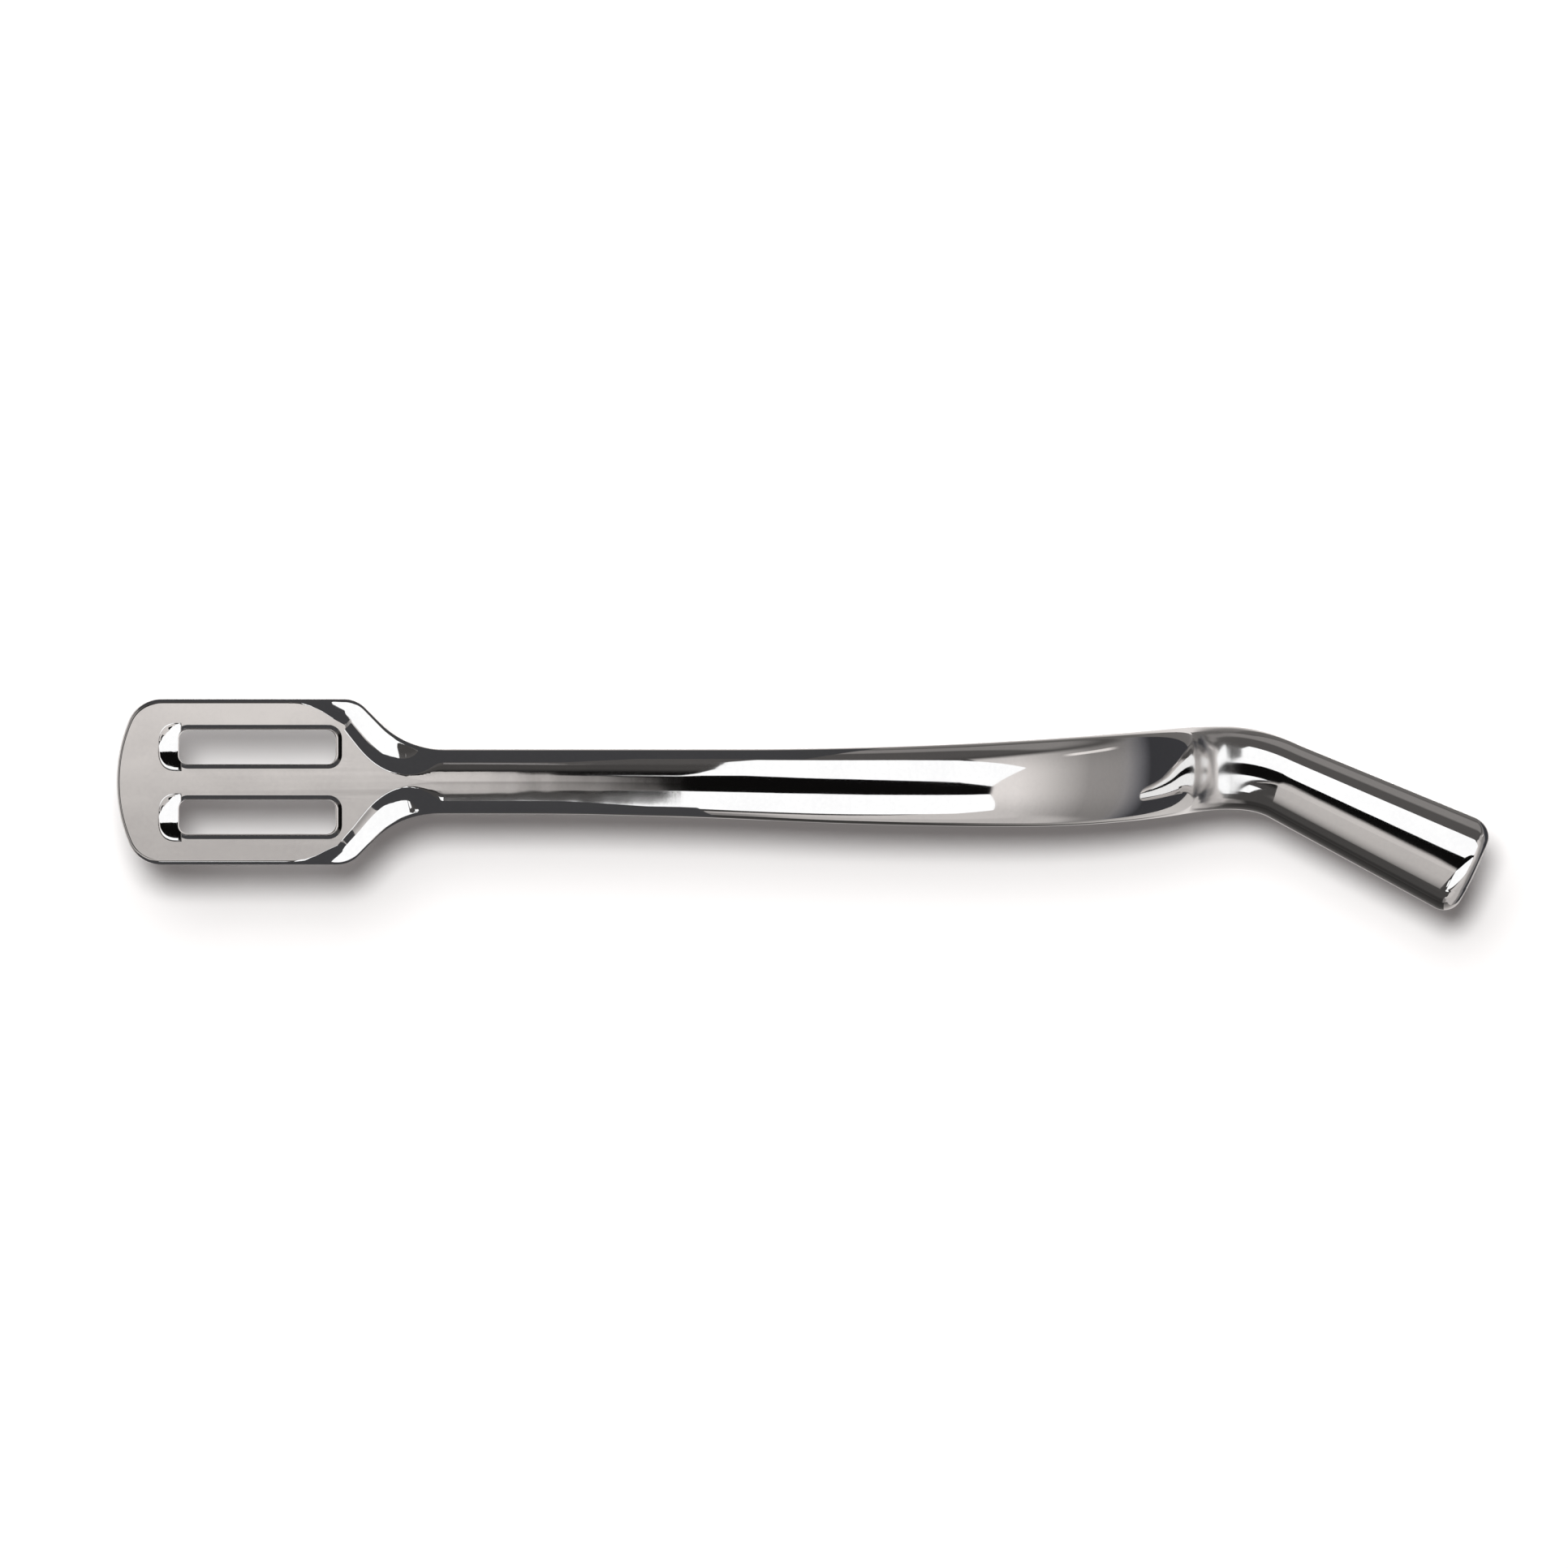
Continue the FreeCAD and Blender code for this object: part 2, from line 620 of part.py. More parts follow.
def make_left_plate():
    blank = make_plate_blank()
    rounding = make_plate_rounding(blank)
    branch_room = solid(
        "Box",
        "BranchRoom",
        "-2 * lap_length; lap_thickness; -blank_half",
        frame=blank.Name,
        Length="2 * lap_length",
        Width="branch_thickness",
        Height="2 * blank_half",
    )
    tools = join("MultiFuse", "PlateCuts", [branch_room, make_reliefs(blank.Name)])
    return cut("LeftStrapPlate", rounding, tools)


def make_band():
    blank = make_band_blank()
    tongue_room = solid(
        "Box",
        "LeftTongueRoom",
        "-lap_length; -branch_thickness; -blank_half",
        frame="PlateBlank",
        Length="2 * lap_length",
        Width="branch_thickness + lap_thickness",
        Height="2 * blank_half",
    )
    socket = solid(
        "Cylinder",
        "Socket",
        "heel_outer - spigot_length - spigot_gap; 0; neck_level",
        {"pitch": "90"},
        Radius="spigot_diameter / 2 + spigot_gap",
        Height="2 * spigot_length",
    )
    rooms = [tongue_room, mirrored("RightTongueRoom", tongue_room), socket]
    return cut("HeelBand", blank, join("MultiFuse", "BandCuts", rooms))


def oval(name, place, height, width, tilt="0"):
    """An oval outline across the neck, as high and as wide as given, tilted by the droop."""
    item = doc.addObject("Part::Ellipse", name)
    bind(item, MajorRadius=f"max({height}; {width}) / 2", MinorRadius=f"min({height}; {width}) / 2")
    stand(item, place, pitch=f"{tilt} - 90", spin=f"{height} >= {width} ? 0 : 90")
    return item


def loft(name, sections, ruled):
    item = doc.addObject("Part::Loft", name)
    item.Sections = sections
    item.Solid = True
    item.Ruled = ruled
    return item


def make_neck(band):
    waist = ("neck_waist_height", "neck_waist_width")
    start = oval("NeckStart", "neck_start; 0; neck_level", *waist)
    turn = oval("NeckTurn", "turn_x; 0; turn_z", *waist, tilt="neck_droop")
    tip_size = ("neck_tip_height", "neck_tip_width")
    tip = oval("NeckTip", "tip_x; 0; tip_z", *tip_size, tilt="neck_droop")
    land_place = "sqrt(heel_outer * heel_outer - root_land * root_land / 4); 0; neck_level"
    land = oval("NeckLand", land_place, "root_land", "root_land")
    bend = doc.addObject("Part::Revolution", "NeckBend")
    bend.Source = start
    bend.Axis = Vector(0, 1, 0)
    bend.Solid = True
    bind(bend, Angle="neck_droop", Base__x="neck_start", Base__z="neck_level - neck_bend")
    spigot = solid(
        "Cylinder",
        "Spigot",
        "heel_outer - spigot_length; 0; neck_level",
        {"pitch": "90"},
        Radius="spigot_diameter / 2",
        Height="spigot_length + weld_length / 2",
    )
    parts = [
        bend,
        loft("NeckRun", [turn, tip], True),
        loft("NeckRoot", [land, start], True),
        spigot,
    ]
    blank = join("MultiFuse", "NeckBlank", parts)
    doc.recompute()
    tilt = math.radians(size("neck_droop"))
    axis = Vector(math.cos(tilt), 0, -math.sin(tilt))
    end = Vector(size("tip_x"), 0, size("tip_z"))
    rim = [
        number
        for number, edge in enumerate(blank.Shape.Edges, start=1)
        if max(abs((point - end).dot(axis)) for point in edge.discretize(8)) < 0.01
    ]
    rounding = doc.addObject("Part::Fillet", "NeckTipRounding")
    rounding.Base = blank
    rounding.Edges = [(number, size("neck_tip_round"), size("neck_tip_round")) for number in rim]
    doc.recompute()
    return cut("Neck", rounding, band)


# the weld's outlines from the neck to the band: place as a share of its length, spread, height
WELD_SHAPE = (
    (1.0, 0.0, 0.0),
    (0.45, 0.12, 0.4),
    (0.0, 0.45, 1.0),
    (-0.35, 1.0, 0.92),
    (-0.7, 1.05, 0.5),
)


def make_weld(band, neck):
    """A concave fillet all round the neck's root, over the band's rounded edges."""
    rings = []
    for number, (place, spread, lift) in enumerate(WELD_SHAPE, start=1):
        height = f"neck_waist_height + {lift} * (2 * apex_half - neck_waist_height)"
        width = f"neck_waist_width + {spread} * 2 * weld_flare"
        level = f"neck_level + {lift} * (apex_level - neck_level)"
        where = f"heel_outer + {place} * weld_length; 0; {level}"
        rings.append(oval(f"WeldRing{number}", where, f"({height})", f"({width})"))
    blank = loft("WeldBlank", rings, False)
    return cut("NeckWeld", blank, join("MultiFuse", "WeldRoom", [band.Base, neck]))


def check_all():
    doc.recompute()
    for item in doc.Objects:
        if "Invalid" in item.State or "Error" in item.State:
            raise ValueError(f"{item.Name} isn't computed: {item.State}")
        shape = getattr(item, "Shape", None)
        if shape is not None and (shape.isNull() or not shape.isValid()):
            raise ValueError(f"{item.Name} has no valid shape")


def main():
    left_plate = make_left_plate()
    band = make_band()
    neck = make_neck(band)
    weld = make_weld(band, neck)
    nodes = {
        "heel_band": band,
        "left_strap_plate": left_plate,
        "right_strap_plate": mirrored("RightStrapPlate", left_plate),
        "neck": neck,
        "neck_weld": weld,
    }
    check_all()
    os.makedirs("parts", exist_ok=True)
    for label, item in nodes.items():
        item.Label = label
        if len(item.Shape.Solids) != 1:
            raise ValueError(f"{label} has {len(item.Shape.Solids)} solids")
        item.Shape.exportStep(f"parts/{label}.step")


main()
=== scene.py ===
import json
import math

import bmesh
import bpy
import numpy as np
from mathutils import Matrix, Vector
from mathutils.geometry import tessellate_polygon


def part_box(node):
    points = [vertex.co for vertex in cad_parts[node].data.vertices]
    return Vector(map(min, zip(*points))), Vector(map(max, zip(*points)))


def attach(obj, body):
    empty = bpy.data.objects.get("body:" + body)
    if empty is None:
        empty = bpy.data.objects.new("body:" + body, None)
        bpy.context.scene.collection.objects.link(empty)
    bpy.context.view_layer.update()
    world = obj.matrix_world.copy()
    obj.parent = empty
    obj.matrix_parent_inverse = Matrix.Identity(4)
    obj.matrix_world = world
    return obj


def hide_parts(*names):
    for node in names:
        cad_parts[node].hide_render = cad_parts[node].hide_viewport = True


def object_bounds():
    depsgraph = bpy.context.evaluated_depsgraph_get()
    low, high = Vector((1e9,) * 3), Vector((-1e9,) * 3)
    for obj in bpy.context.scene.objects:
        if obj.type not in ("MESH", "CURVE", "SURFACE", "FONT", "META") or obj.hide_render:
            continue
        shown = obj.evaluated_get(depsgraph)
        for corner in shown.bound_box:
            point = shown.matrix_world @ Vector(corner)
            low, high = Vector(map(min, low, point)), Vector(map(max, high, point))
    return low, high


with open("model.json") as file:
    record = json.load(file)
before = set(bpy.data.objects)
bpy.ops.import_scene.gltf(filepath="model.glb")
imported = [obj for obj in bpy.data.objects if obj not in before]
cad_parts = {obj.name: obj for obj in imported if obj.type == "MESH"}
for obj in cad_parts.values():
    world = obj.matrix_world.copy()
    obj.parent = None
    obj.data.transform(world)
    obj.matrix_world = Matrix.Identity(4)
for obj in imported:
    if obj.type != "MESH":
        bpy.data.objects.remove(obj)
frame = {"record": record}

scene = bpy.context.scene
cadLow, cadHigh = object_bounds()
milli = 0.001
trim = 0.9996                # keeps the polished surface just inside the solids' box
seat = next(m for m in frame["record"]["mounts"] if m["name"] == "heel_seat")
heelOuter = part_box("heel_band")[1].x / milli
crownSteps = 24              # steps from the crown of the bar to its edge, on band and plates
edgeShare = 1.3              # the share of the outside that reaches the middle of the flat edge


def cosd(angle):
    return math.cos(math.radians(angle))


def sind(angle):
    return math.sin(math.radians(angle))


def lerp(a, b, t):
    return a + (b - a) * t


def ease(t):
    t = min(max(t, 0.0), 1.0)
    return t * t * (3 - 2 * t)


def superPoint(angle, fullness):
    # a point of a superellipse with half axes of 1
    c, s = cosd(angle), sind(angle)
    power = 2 / fullness
    return math.copysign(abs(c) ** power, c), math.copysign(abs(s) ** power, s)


class Shell:
    # vertices and faces in millimetres, each face with the name of its piece
    def __init__(self):
        self.points = []
        self.faces = []
        self.names = []

    def add(self, points):
        first = len(self.points)
        self.points.extend(tuple(p) for p in points)
        return list(range(first, len(self.points)))

    def face(self, corners, name):
        corners = [c for i, c in enumerate(corners) if c != corners[i - 1]]
        if len(corners) > 2:
            self.faces.append(tuple(corners))
            self.names.append(name)

    def strip(self, one, two, name, closed=False):
        count = len(one) if closed else len(one) - 1
        for i in range(count):
            j = (i + 1) % len(one)
            self.face((one[i], one[j], two[j], two[i]), name)


def faceNormals(points, faces):
    # area vectors of the faces
    result = np.zeros((len(faces), 3))
    for i, corners in enumerate(faces):
        ring = points[list(corners)]
        result[i] = 0.5 * np.cross(ring, np.roll(ring, -1, axis=0)).sum(axis=0)
    return result


def smoothNormals(points, faces):
    # one normal for each vertex, for a shell with no sharp edge
    area = faceNormals(points, faces)
    total = np.zeros_like(points)
    for corners, vector in zip(faces, area):
        for c in corners:
            total[c] += vector
    length = np.linalg.norm(total, axis=1)
    length[length == 0] = 1
    return total / length[:, None]


def cornerNormals(points, faces, sharp=38):
    # normals for each face corner: faces that meet at less than the sharp angle are shaded as one
    area = faceNormals(points, faces)
    length = np.linalg.norm(area, axis=1)
    length[length == 0] = 1e-12
    unit = area / length[:, None]
    around = [[] for _ in points]
    for i, corners in enumerate(faces):
        for c in corners:
            around[c].append(i)
    limit = cosd(sharp)
    result = []
    for i, corners in enumerate(faces):
        for c in corners:
            near = around[c]
            close = unit[near] @ unit[i] > limit
            total = (area[near] * close[:, None]).sum(axis=0)
            size = np.linalg.norm(total)
            result.append(tuple(total / size) if size > 1e-12 else tuple(unit[i]))
    return result


def makeObject(name, points, faces, normals=None, perCorner=False):
    mesh = bpy.data.meshes.new(name)
    mesh.from_pydata([tuple(np.asarray(p) * milli * trim) for p in points], [], faces)
    mesh.polygons.foreach_set("use_smooth", [True] * len(mesh.polygons))
    if normals is not None and perCorner:
        mesh.normals_split_custom_set(normals)
    elif normals is not None:
        mesh.normals_split_custom_set_from_vertices(normals)
    obj = bpy.data.objects.new(name, mesh)
    scene.collection.objects.link(obj)
    return obj


# the heel band: its plan, its edges and its section
bandSizes = {
    "seatRadius": seat["dims"]["r_mm"],
    "heelArc": 65.0,         # degrees of the round seat on each side of the neck
    "sideRadius": 75.0,      # inner radius between seat and branch
    "flare": 2.0,            # degrees by which a branch opens
    "branchLength": 13.5,
    "heelThickness": 4.4,
    "branchThickness": 3.0,
    "top": 2.8,              # branch edges above and below the middle of the plates
    "bottom": 2.75,
    "topRise": 2.05,
    "risePlace": 3.4,
    "bellyDrop": 1.1,
    "bellyPlace": 21.0,
    "heelBottom": 2.5,
    "lap": 6.0,
    "crownDepth": 2.15,      # how far the crowned outside reaches in
    "fullness": 2.3,         # 2 is an ellipse, more is squarer
    "innerRound": 0.5,
    "branchSteps": 14,
    "patch": 16,             # degrees on each side of the neck that the round patch takes up
    "patchRings": 10,
}


def planPoint(place):
    # inner point, outer point and outward normal of the left branch; place runs in degrees up to
    # the start of the straight part and in millimetres from there
    b = bandSizes
    turn = 90 - b["flare"]
    angle = min(place, turn)
    inner, side, arc = b["seatRadius"], b["sideRadius"], b["heelArc"]
    gap = cosd(90 - arc - b["flare"])
    outer = inner + b["heelThickness"]
    sideOuter = ((inner - side) * gap + side + b["branchThickness"] - outer * gap) / (1 - gap)
    normal = np.array((cosd(angle), -sind(angle)))
    if angle <= arc:
        points = [inner * normal, outer * normal]
    else:
        hub = np.array((cosd(arc), -sind(arc)))
        points = [(inner - side) * hub + side * normal, (outer - sideOuter) * hub + sideOuter * normal]
    if place > turn:
        points[1] = points[0] + b["branchThickness"] * normal
        along = np.array((-cosd(b["flare"]), -sind(b["flare"])))
        points = [p + (place - turn) * along for p in points]
    return points[0], points[1], normal


def topAt(x):
    b = bandSizes
    run = heelOuter + b["risePlace"]
    radius = (run**2 + b["topRise"] ** 2) / (2 * b["topRise"])
    return b["top"] + radius - math.sqrt(radius**2 - max(x + b["risePlace"], 0) ** 2)


def bottomAt(x):
    b = bandSizes
    start = planPoint(90 - b["flare"] + b["branchLength"])[0][0] + b["lap"]
    run, drop, deep = b["bellyPlace"] - start, b["bellyDrop"], b["bottom"] + b["bellyDrop"]
    wave = (run**2 + drop**2) / (4 * drop)
    lift = deep - b["heelBottom"]
    bowl = ((heelOuter - b["bellyPlace"]) ** 2 + lift**2) / (2 * lift)
    if x < start:
        return -b["bottom"]
    if x < start + run / 2:
        return -b["bottom"] - wave + math.sqrt(wave**2 - (x - start) ** 2)
    if x < b["bellyPlace"]:
        return -deep + wave - math.sqrt(wave**2 - (b["bellyPlace"] - x) ** 2)
    return -deep + bowl - math.sqrt(bowl**2 - (x - b["bellyPlace"]) ** 2)


def outside(place, share):
    # point of the crowned outside: share -1 is its lower edge, 0 the crown and 1 its upper edge;
    # up to edgeShare either way it goes on over half of the flat edge; negative places are on the
    # other side
    b = bandSizes
    inner, outer, normal = planPoint(abs(place))
    thick = float(np.dot(outer - inner, normal))
    c, s = superPoint(min(max(share, -1), 1) * 90, b["fullness"])
    depth = b["crownDepth"] * (1 - c)
    flat = thick - b["crownDepth"] - b["innerRound"]
    depth += max(abs(share) - 1, 0) / (2 * (edgeShare - 1)) * flat
    spot = outer - normal * depth
    high, low = topAt(spot[0]), bottomAt(spot[0])
    height = (high + low) / 2 + (high - low) / 2 * s
    return np.array((spot[0], spot[1] * (1 if place >= 0 else -1), height))


def inside(place, steps=5, wall=6):
    # points from the middle of the upper edge round the inner wall to the middle of the lower edge
    b = bandSizes
    inner, outer, normal = planPoint(abs(place))
    r = b["innerRound"]
    side = 1 if place >= 0 else -1
    result = []

    def put(depth, height):
        spot = inner + normal * depth
        level = topAt(spot[0]) if height > 0 else bottomAt(spot[0])
        result.append((spot[0], spot[1] * side, level - math.copysign(abs(height) - 1, height)))

    for i in range(steps + 1):
        angle = 90 * i / steps
        put(r * (1 - sind(angle)), 1 + r * (1 - cosd(angle)))
    upper, lower = topAt(inner[0]) - r, bottomAt(inner[0]) + r
    for i in range(1, wall):
        result.append((inner[0], inner[1] * side, lerp(upper, lower, i / wall)))
    for i in range(steps, -1, -1):
        angle = 90 * i / steps
        put(r * (1 - sind(angle)), -1 - r * (1 - cosd(angle)))
    return result


# the neck and the weld that blends it into the band
neckSizes = {
    "level": 1.2,            # middle of the root above the origin
    "weld": 1.9,             # band to the end of the weld
    "bend": 11.5,
    "droop": 25.5,
    "reach": 23.15,
    "root": (6.7, 7.15),     # width and height where the weld ends
    "waist": (6.6, 6.75),    # in the bend
    "tip": (7.6, 8.7),
    "tipRound": (
        (-90, 1.5), (-60, 1.8), (-35, 1.9), (-10, 1.4), (15, 1.0), (50, 1.1), (75, 1.5), (90, 1.8),
    ),                       # rounding of the tip from its underside to its upper side
    "tipDome": 0.3,
    "taperRun": 18.1,        # length over which the neck grows from waist to tip
    "fullness": 2.12,
    "footprint": 11.0,       # degrees of the band that the weld covers on each side
    "slopeStep": 0.98,       # the foot's slope is taken from here to its border
    "weldRings": 14,
    "bendRings": 14,
    "neckRings": 25,
    "lastRing": 21,          # after it the rounding of the tip begins
    "roundRings": 12,
    "endRings": 8,
}


def neckPath():
    # centre, tilt and share of each ring from the end of the weld to the tip
    n = neckSizes
    rings = []
    bend, whole = n["bendRings"], n["neckRings"]
    start = np.array((heelOuter + n["weld"], 0, n["level"]))
    for i in range(bend + 1):
        a = n["droop"] * i / bend
        centre = start + np.array((n["bend"] * sind(a), 0, -n["bend"] * (1 - cosd(a))))
        rings.append((centre, a, i / bend - 1))
    centre, a, _ = rings[-1]
    run = (heelOuter + n["reach"] - centre[0]) / cosd(a)
    axis = np.array((cosd(a), 0, -sind(a)))
    for i in range(1, n["lastRing"] + 1):
        rings.append((centre + axis * run * i / whole, a, i / whole))
    rings.append((centre + axis * run, a, 1.0))
    return rings


def neckRing(centre, tilt, share, angles, inset=None, along=None):
    # share runs from -1 at the weld over 0 at the end of the bend to 1 at the tip
    n = neckSizes
    up = np.array((sind(tilt), 0, cosd(tilt)))
    axis = np.array((cosd(tilt), 0, -sind(tilt)))
    result = []
    for k, angle in enumerate(angles):
        c, s = superPoint(angle, n["fullness"])
        place = share + along[k] / n["taperRun"] if along else share
        end, amount = ("root", ease(-place)) if place < 0 else ("tip", place)
        wide, high = (lerp(n["waist"][i], n[end][i], amount) / 2 for i in (0, 1))
        spoke = np.array((0, -wide * c, 0)) + up * high * s
        if inset is not None:
            reach = np.linalg.norm(spoke)
            part = (reach - inset[k]) / reach
            spoke = spoke * part + axis * (along[k] + n["tipDome"] * (1 - part**2))
        result.append(centre + spoke)
    return result


def buildBandAndNeck():
    shell = Shell()
    n = neckSizes
    straight = 90 - bandSizes["flare"]
    patch, crown = bandSizes["patch"], 2 * crownSteps
    places = [float(i) for i in range(int(straight))] + [straight]
    count = bandSizes["branchSteps"]
    places += [straight + bandSizes["branchLength"] * i / count for i in range(1, count + 1)]
    places = [-p for p in places[:0:-1]] + places
    shares = [-edgeShare] + [2 * i / crown - 1 for i in range(crown + 1)] + [edgeShare]
    middle = places.index(0.0)

    columns = []
    for place in places:
        outer = shell.add(outside(place, share) for share in shares)
        rest = shell.add(inside(place))
        columns.append((outer, rest))
    for i in range(len(places) - 1):
        one, two = columns[i], columns[i + 1]
        rest = [one[0][-1]] + one[1] + [one[0][0]], [two[0][-1]] + two[1] + [two[0][0]]
        shell.strip(rest[1], rest[0], "heel_band")
        if not middle - patch <= i < middle + patch:
            shell.strip(two[0], one[0], "heel_band")

    # the round patch where the neck stands, from a rectangle to an oval and on into the weld
    last = len(shares) - 1
    border = [(middle + patch, j) for j in range(last + 1)]
    border += [(i, last) for i in range(middle + patch - 1, middle - patch - 1, -1)]
    border += [(middle - patch, j) for j in range(last - 1, -1, -1)]
    border += [(i, 0) for i in range(middle - patch + 1, middle + patch)]
    ring = [columns[i][0][j] for i, j in border]
    spots = [(places[i], shares[j]) for i, j in border]
    angles = [math.degrees(math.atan2(a / edgeShare, p / patch)) for p, a in spots]
    oval = [(n["footprint"] * cosd(angle), sind(angle)) for angle in angles]
    for k in range(1, bandSizes["patchRings"] + 1):
        t = k / bandSizes["patchRings"]
        loop = shell.add(
            outside(lerp(p, q, t), lerp(a, b, t)) for (p, a), (q, b) in zip(spots, oval)
        )
        shell.strip(ring, loop, "heel_band", closed=True)
        ring = loop
    feet = [np.array(shell.points[i]) for i in ring]
    rings = neckPath()
    ends = neckRing(*rings[0], angles)
    slopes = []
    for (p, a), point in zip(oval, feet):
        step = outside(p * n["slopeStep"], a * n["slopeStep"]) - point
        slopes.append(step / np.linalg.norm(step))
    forward = np.array((1.0, 0, 0))
    for k in range(1, n["weldRings"] + 1):
        t = k / n["weldRings"]
        h00, h10 = 2 * t**3 - 3 * t**2 + 1, t**3 - 2 * t**2 + t
        h01, h11 = 3 * t**2 - 2 * t**3, t**3 - t**2
        loop = []
        for point, slope, end in zip(feet, slopes, ends):
            size = np.linalg.norm(end - point)
            loop.append(h00 * point + h10 * size * slope + h01 * end + h11 * size * forward)
        loop = shell.add(loop)
        shell.strip(ring, loop, "neck_weld", closed=True)
        ring = loop
    for centre, tilt, share in rings[1:-1]:
        loop = shell.add(neckRing(centre, tilt, share, angles))
        shell.strip(ring, loop, "neck", closed=True)
        ring = loop
    # the rounding of the tip, then its end face
    table = n["tipRound"]
    climbs = [math.degrees(math.asin(sind(angle))) for angle in angles]
    rounds = list(np.interp(climbs, [t[0] for t in table], [t[1] for t in table]))
    centre, tilt, share = rings[-1]
    for k in range(n["roundRings"] + 1):
        turn = 90 / n["roundRings"] * k
        inset = [r * (1 - cosd(turn)) for r in rounds]
        along = [-r * (1 - sind(turn)) for r in rounds]
        loop = shell.add(neckRing(centre, tilt, share, angles, inset, along))
        shell.strip(ring, loop, "neck", closed=True)
        ring = loop
    reaches = [float(np.linalg.norm(p - centre)) for p in neckRing(centre, tilt, share, angles)]
    for k in range(1, n["endRings"]):
        inset = [lerp(r, whole, k / n["endRings"]) for r, whole in zip(rounds, reaches)]
        loop = shell.add(neckRing(centre, tilt, share, angles, inset, [0.0] * len(angles)))
        shell.strip(ring, loop, "neck", closed=True)
        ring = loop
    axis = np.array((cosd(tilt), 0, -sind(tilt)))
    hub = shell.add([centre + axis * n["tipDome"]])[0]
    for i in range(len(ring)):
        shell.face((ring[i], ring[(i + 1) % len(ring)], hub), "neck")
    return shell, columns


bandShell, bandColumns = buildBandAndNeck()
bandPoints = np.array(bandShell.points)
bandNormals = smoothNormals(bandPoints, bandShell.faces)
print("band, weld and neck:", len(bandShell.faces), "faces")


def splitShell(name):
    # the faces of one piece, which is open where the next one goes on
    faces = [f for f, n in zip(bandShell.faces, bandShell.names) if n == name]
    used = sorted({c for f in faces for c in f})
    lookup = {c: i for i, c in enumerate(used)}
    faces = [tuple(lookup[c] for c in f) for f in faces]
    points = bandPoints[used]
    normals = [tuple(bandNormals[c]) for c in used]
    return makeObject(name, points, faces, normals)


# the strap plates: outline, worked border, slots and reliefs
plateSizes = {
    "length": 28.0,
    "halfHeight": 7.1,
    "frontRadius": 14.0,
    "corner": 3.0,
    "shoulder": 2.6,
    "throat": 7.5,
    "slope": 45.0,
    "lowerThroat": 0.55,
    # (distance from the joint, width of the worked border) above and below
    "upperBorder": (
        (1.2, 2.8), (2.6, 2.92), (4.0, 3.15), (5.3, 2.93), (6.64, 2.7), (7.5, 2.45), (8.48, 2.3),
        (9.4, 1.75), (10.3, 1.1), (11.2, 0.65), (12.2, 0.4), (25.0, 0.4), (28.0, 0.16),
    ),
    "lowerBorder": (
        (1.2, 2.75), (3.1, 2.85), (4.55, 2.65), (5.85, 2.15), (7.2, 2.05), (8.1, 1.95), (9.03, 1.75),
        (9.7, 1.45), (10.5, 1.0), (11.3, 0.6), (12.2, 0.4), (25.0, 0.4), (28.0, 0.16),
    ),
    "evenOut": 0.6,          # how far the corners of these tables are evened out
    "coveShare": (0.34, 0.30),    # part of the border that its steep inner side takes
    "coveTilts": (2.0, 50.0, 38.0, 27.0, 13.0, 72.0),    # degrees across the cove
    "coveTurns": (0.03, 0.05, 0.88),    # how soon it turns steep and shallow, and where its lip is
    "coveRun": 2.6,          # from the joint to the full cove
    "lead": (0.24, 3.6),     # flat part of the border at the joint and where it has ended
    "coveEnd": (9.8, 2.4),   # where the cove fades into the plain edge and over what length
    "slot": (13.7, 3.0),
    "slotSpacing": 6.05,
    "slotFront": 5.2,
    "slotCorner": 0.8,
    "slotRim": (
        (0.39, 0.0), (0.37, 0.012), (0.28, 0.082), (0.19, 0.152), (0.10, 0.224), (0.04, 0.28),
        (0.01, 0.36), (0.0, 0.48),
    ),                       # (offset, depth) of its worn-in edge
    "relief": (1.75, 2.1),   # length of a slot's relief and its half height at the slot
    "reliefFullness": 2.7,
    "reliefBack": -0.3,      # the cutter's back, inside the slot
    "reliefHub": 0.3,        # what the floor's rings shrink to
    "reliefRings": (1.0, 0.97, 0.93, 0.85, 0.7, 0.55, 0.4, 0.25, 0.1),
    "reliefLip": (0.93, 0.12),    # ring where the lip begins and its height
    # depth of the scoop's floor at the slot, then its change with u, u squared, z and z squared
    "reliefFloor": (0.60, -0.20, -0.075, -0.165, -0.072),
    "reliefLeast": 0.05,     # least depth of the floor
    "cutterRise": 0.4,       # how far the cutters stand over the face
}


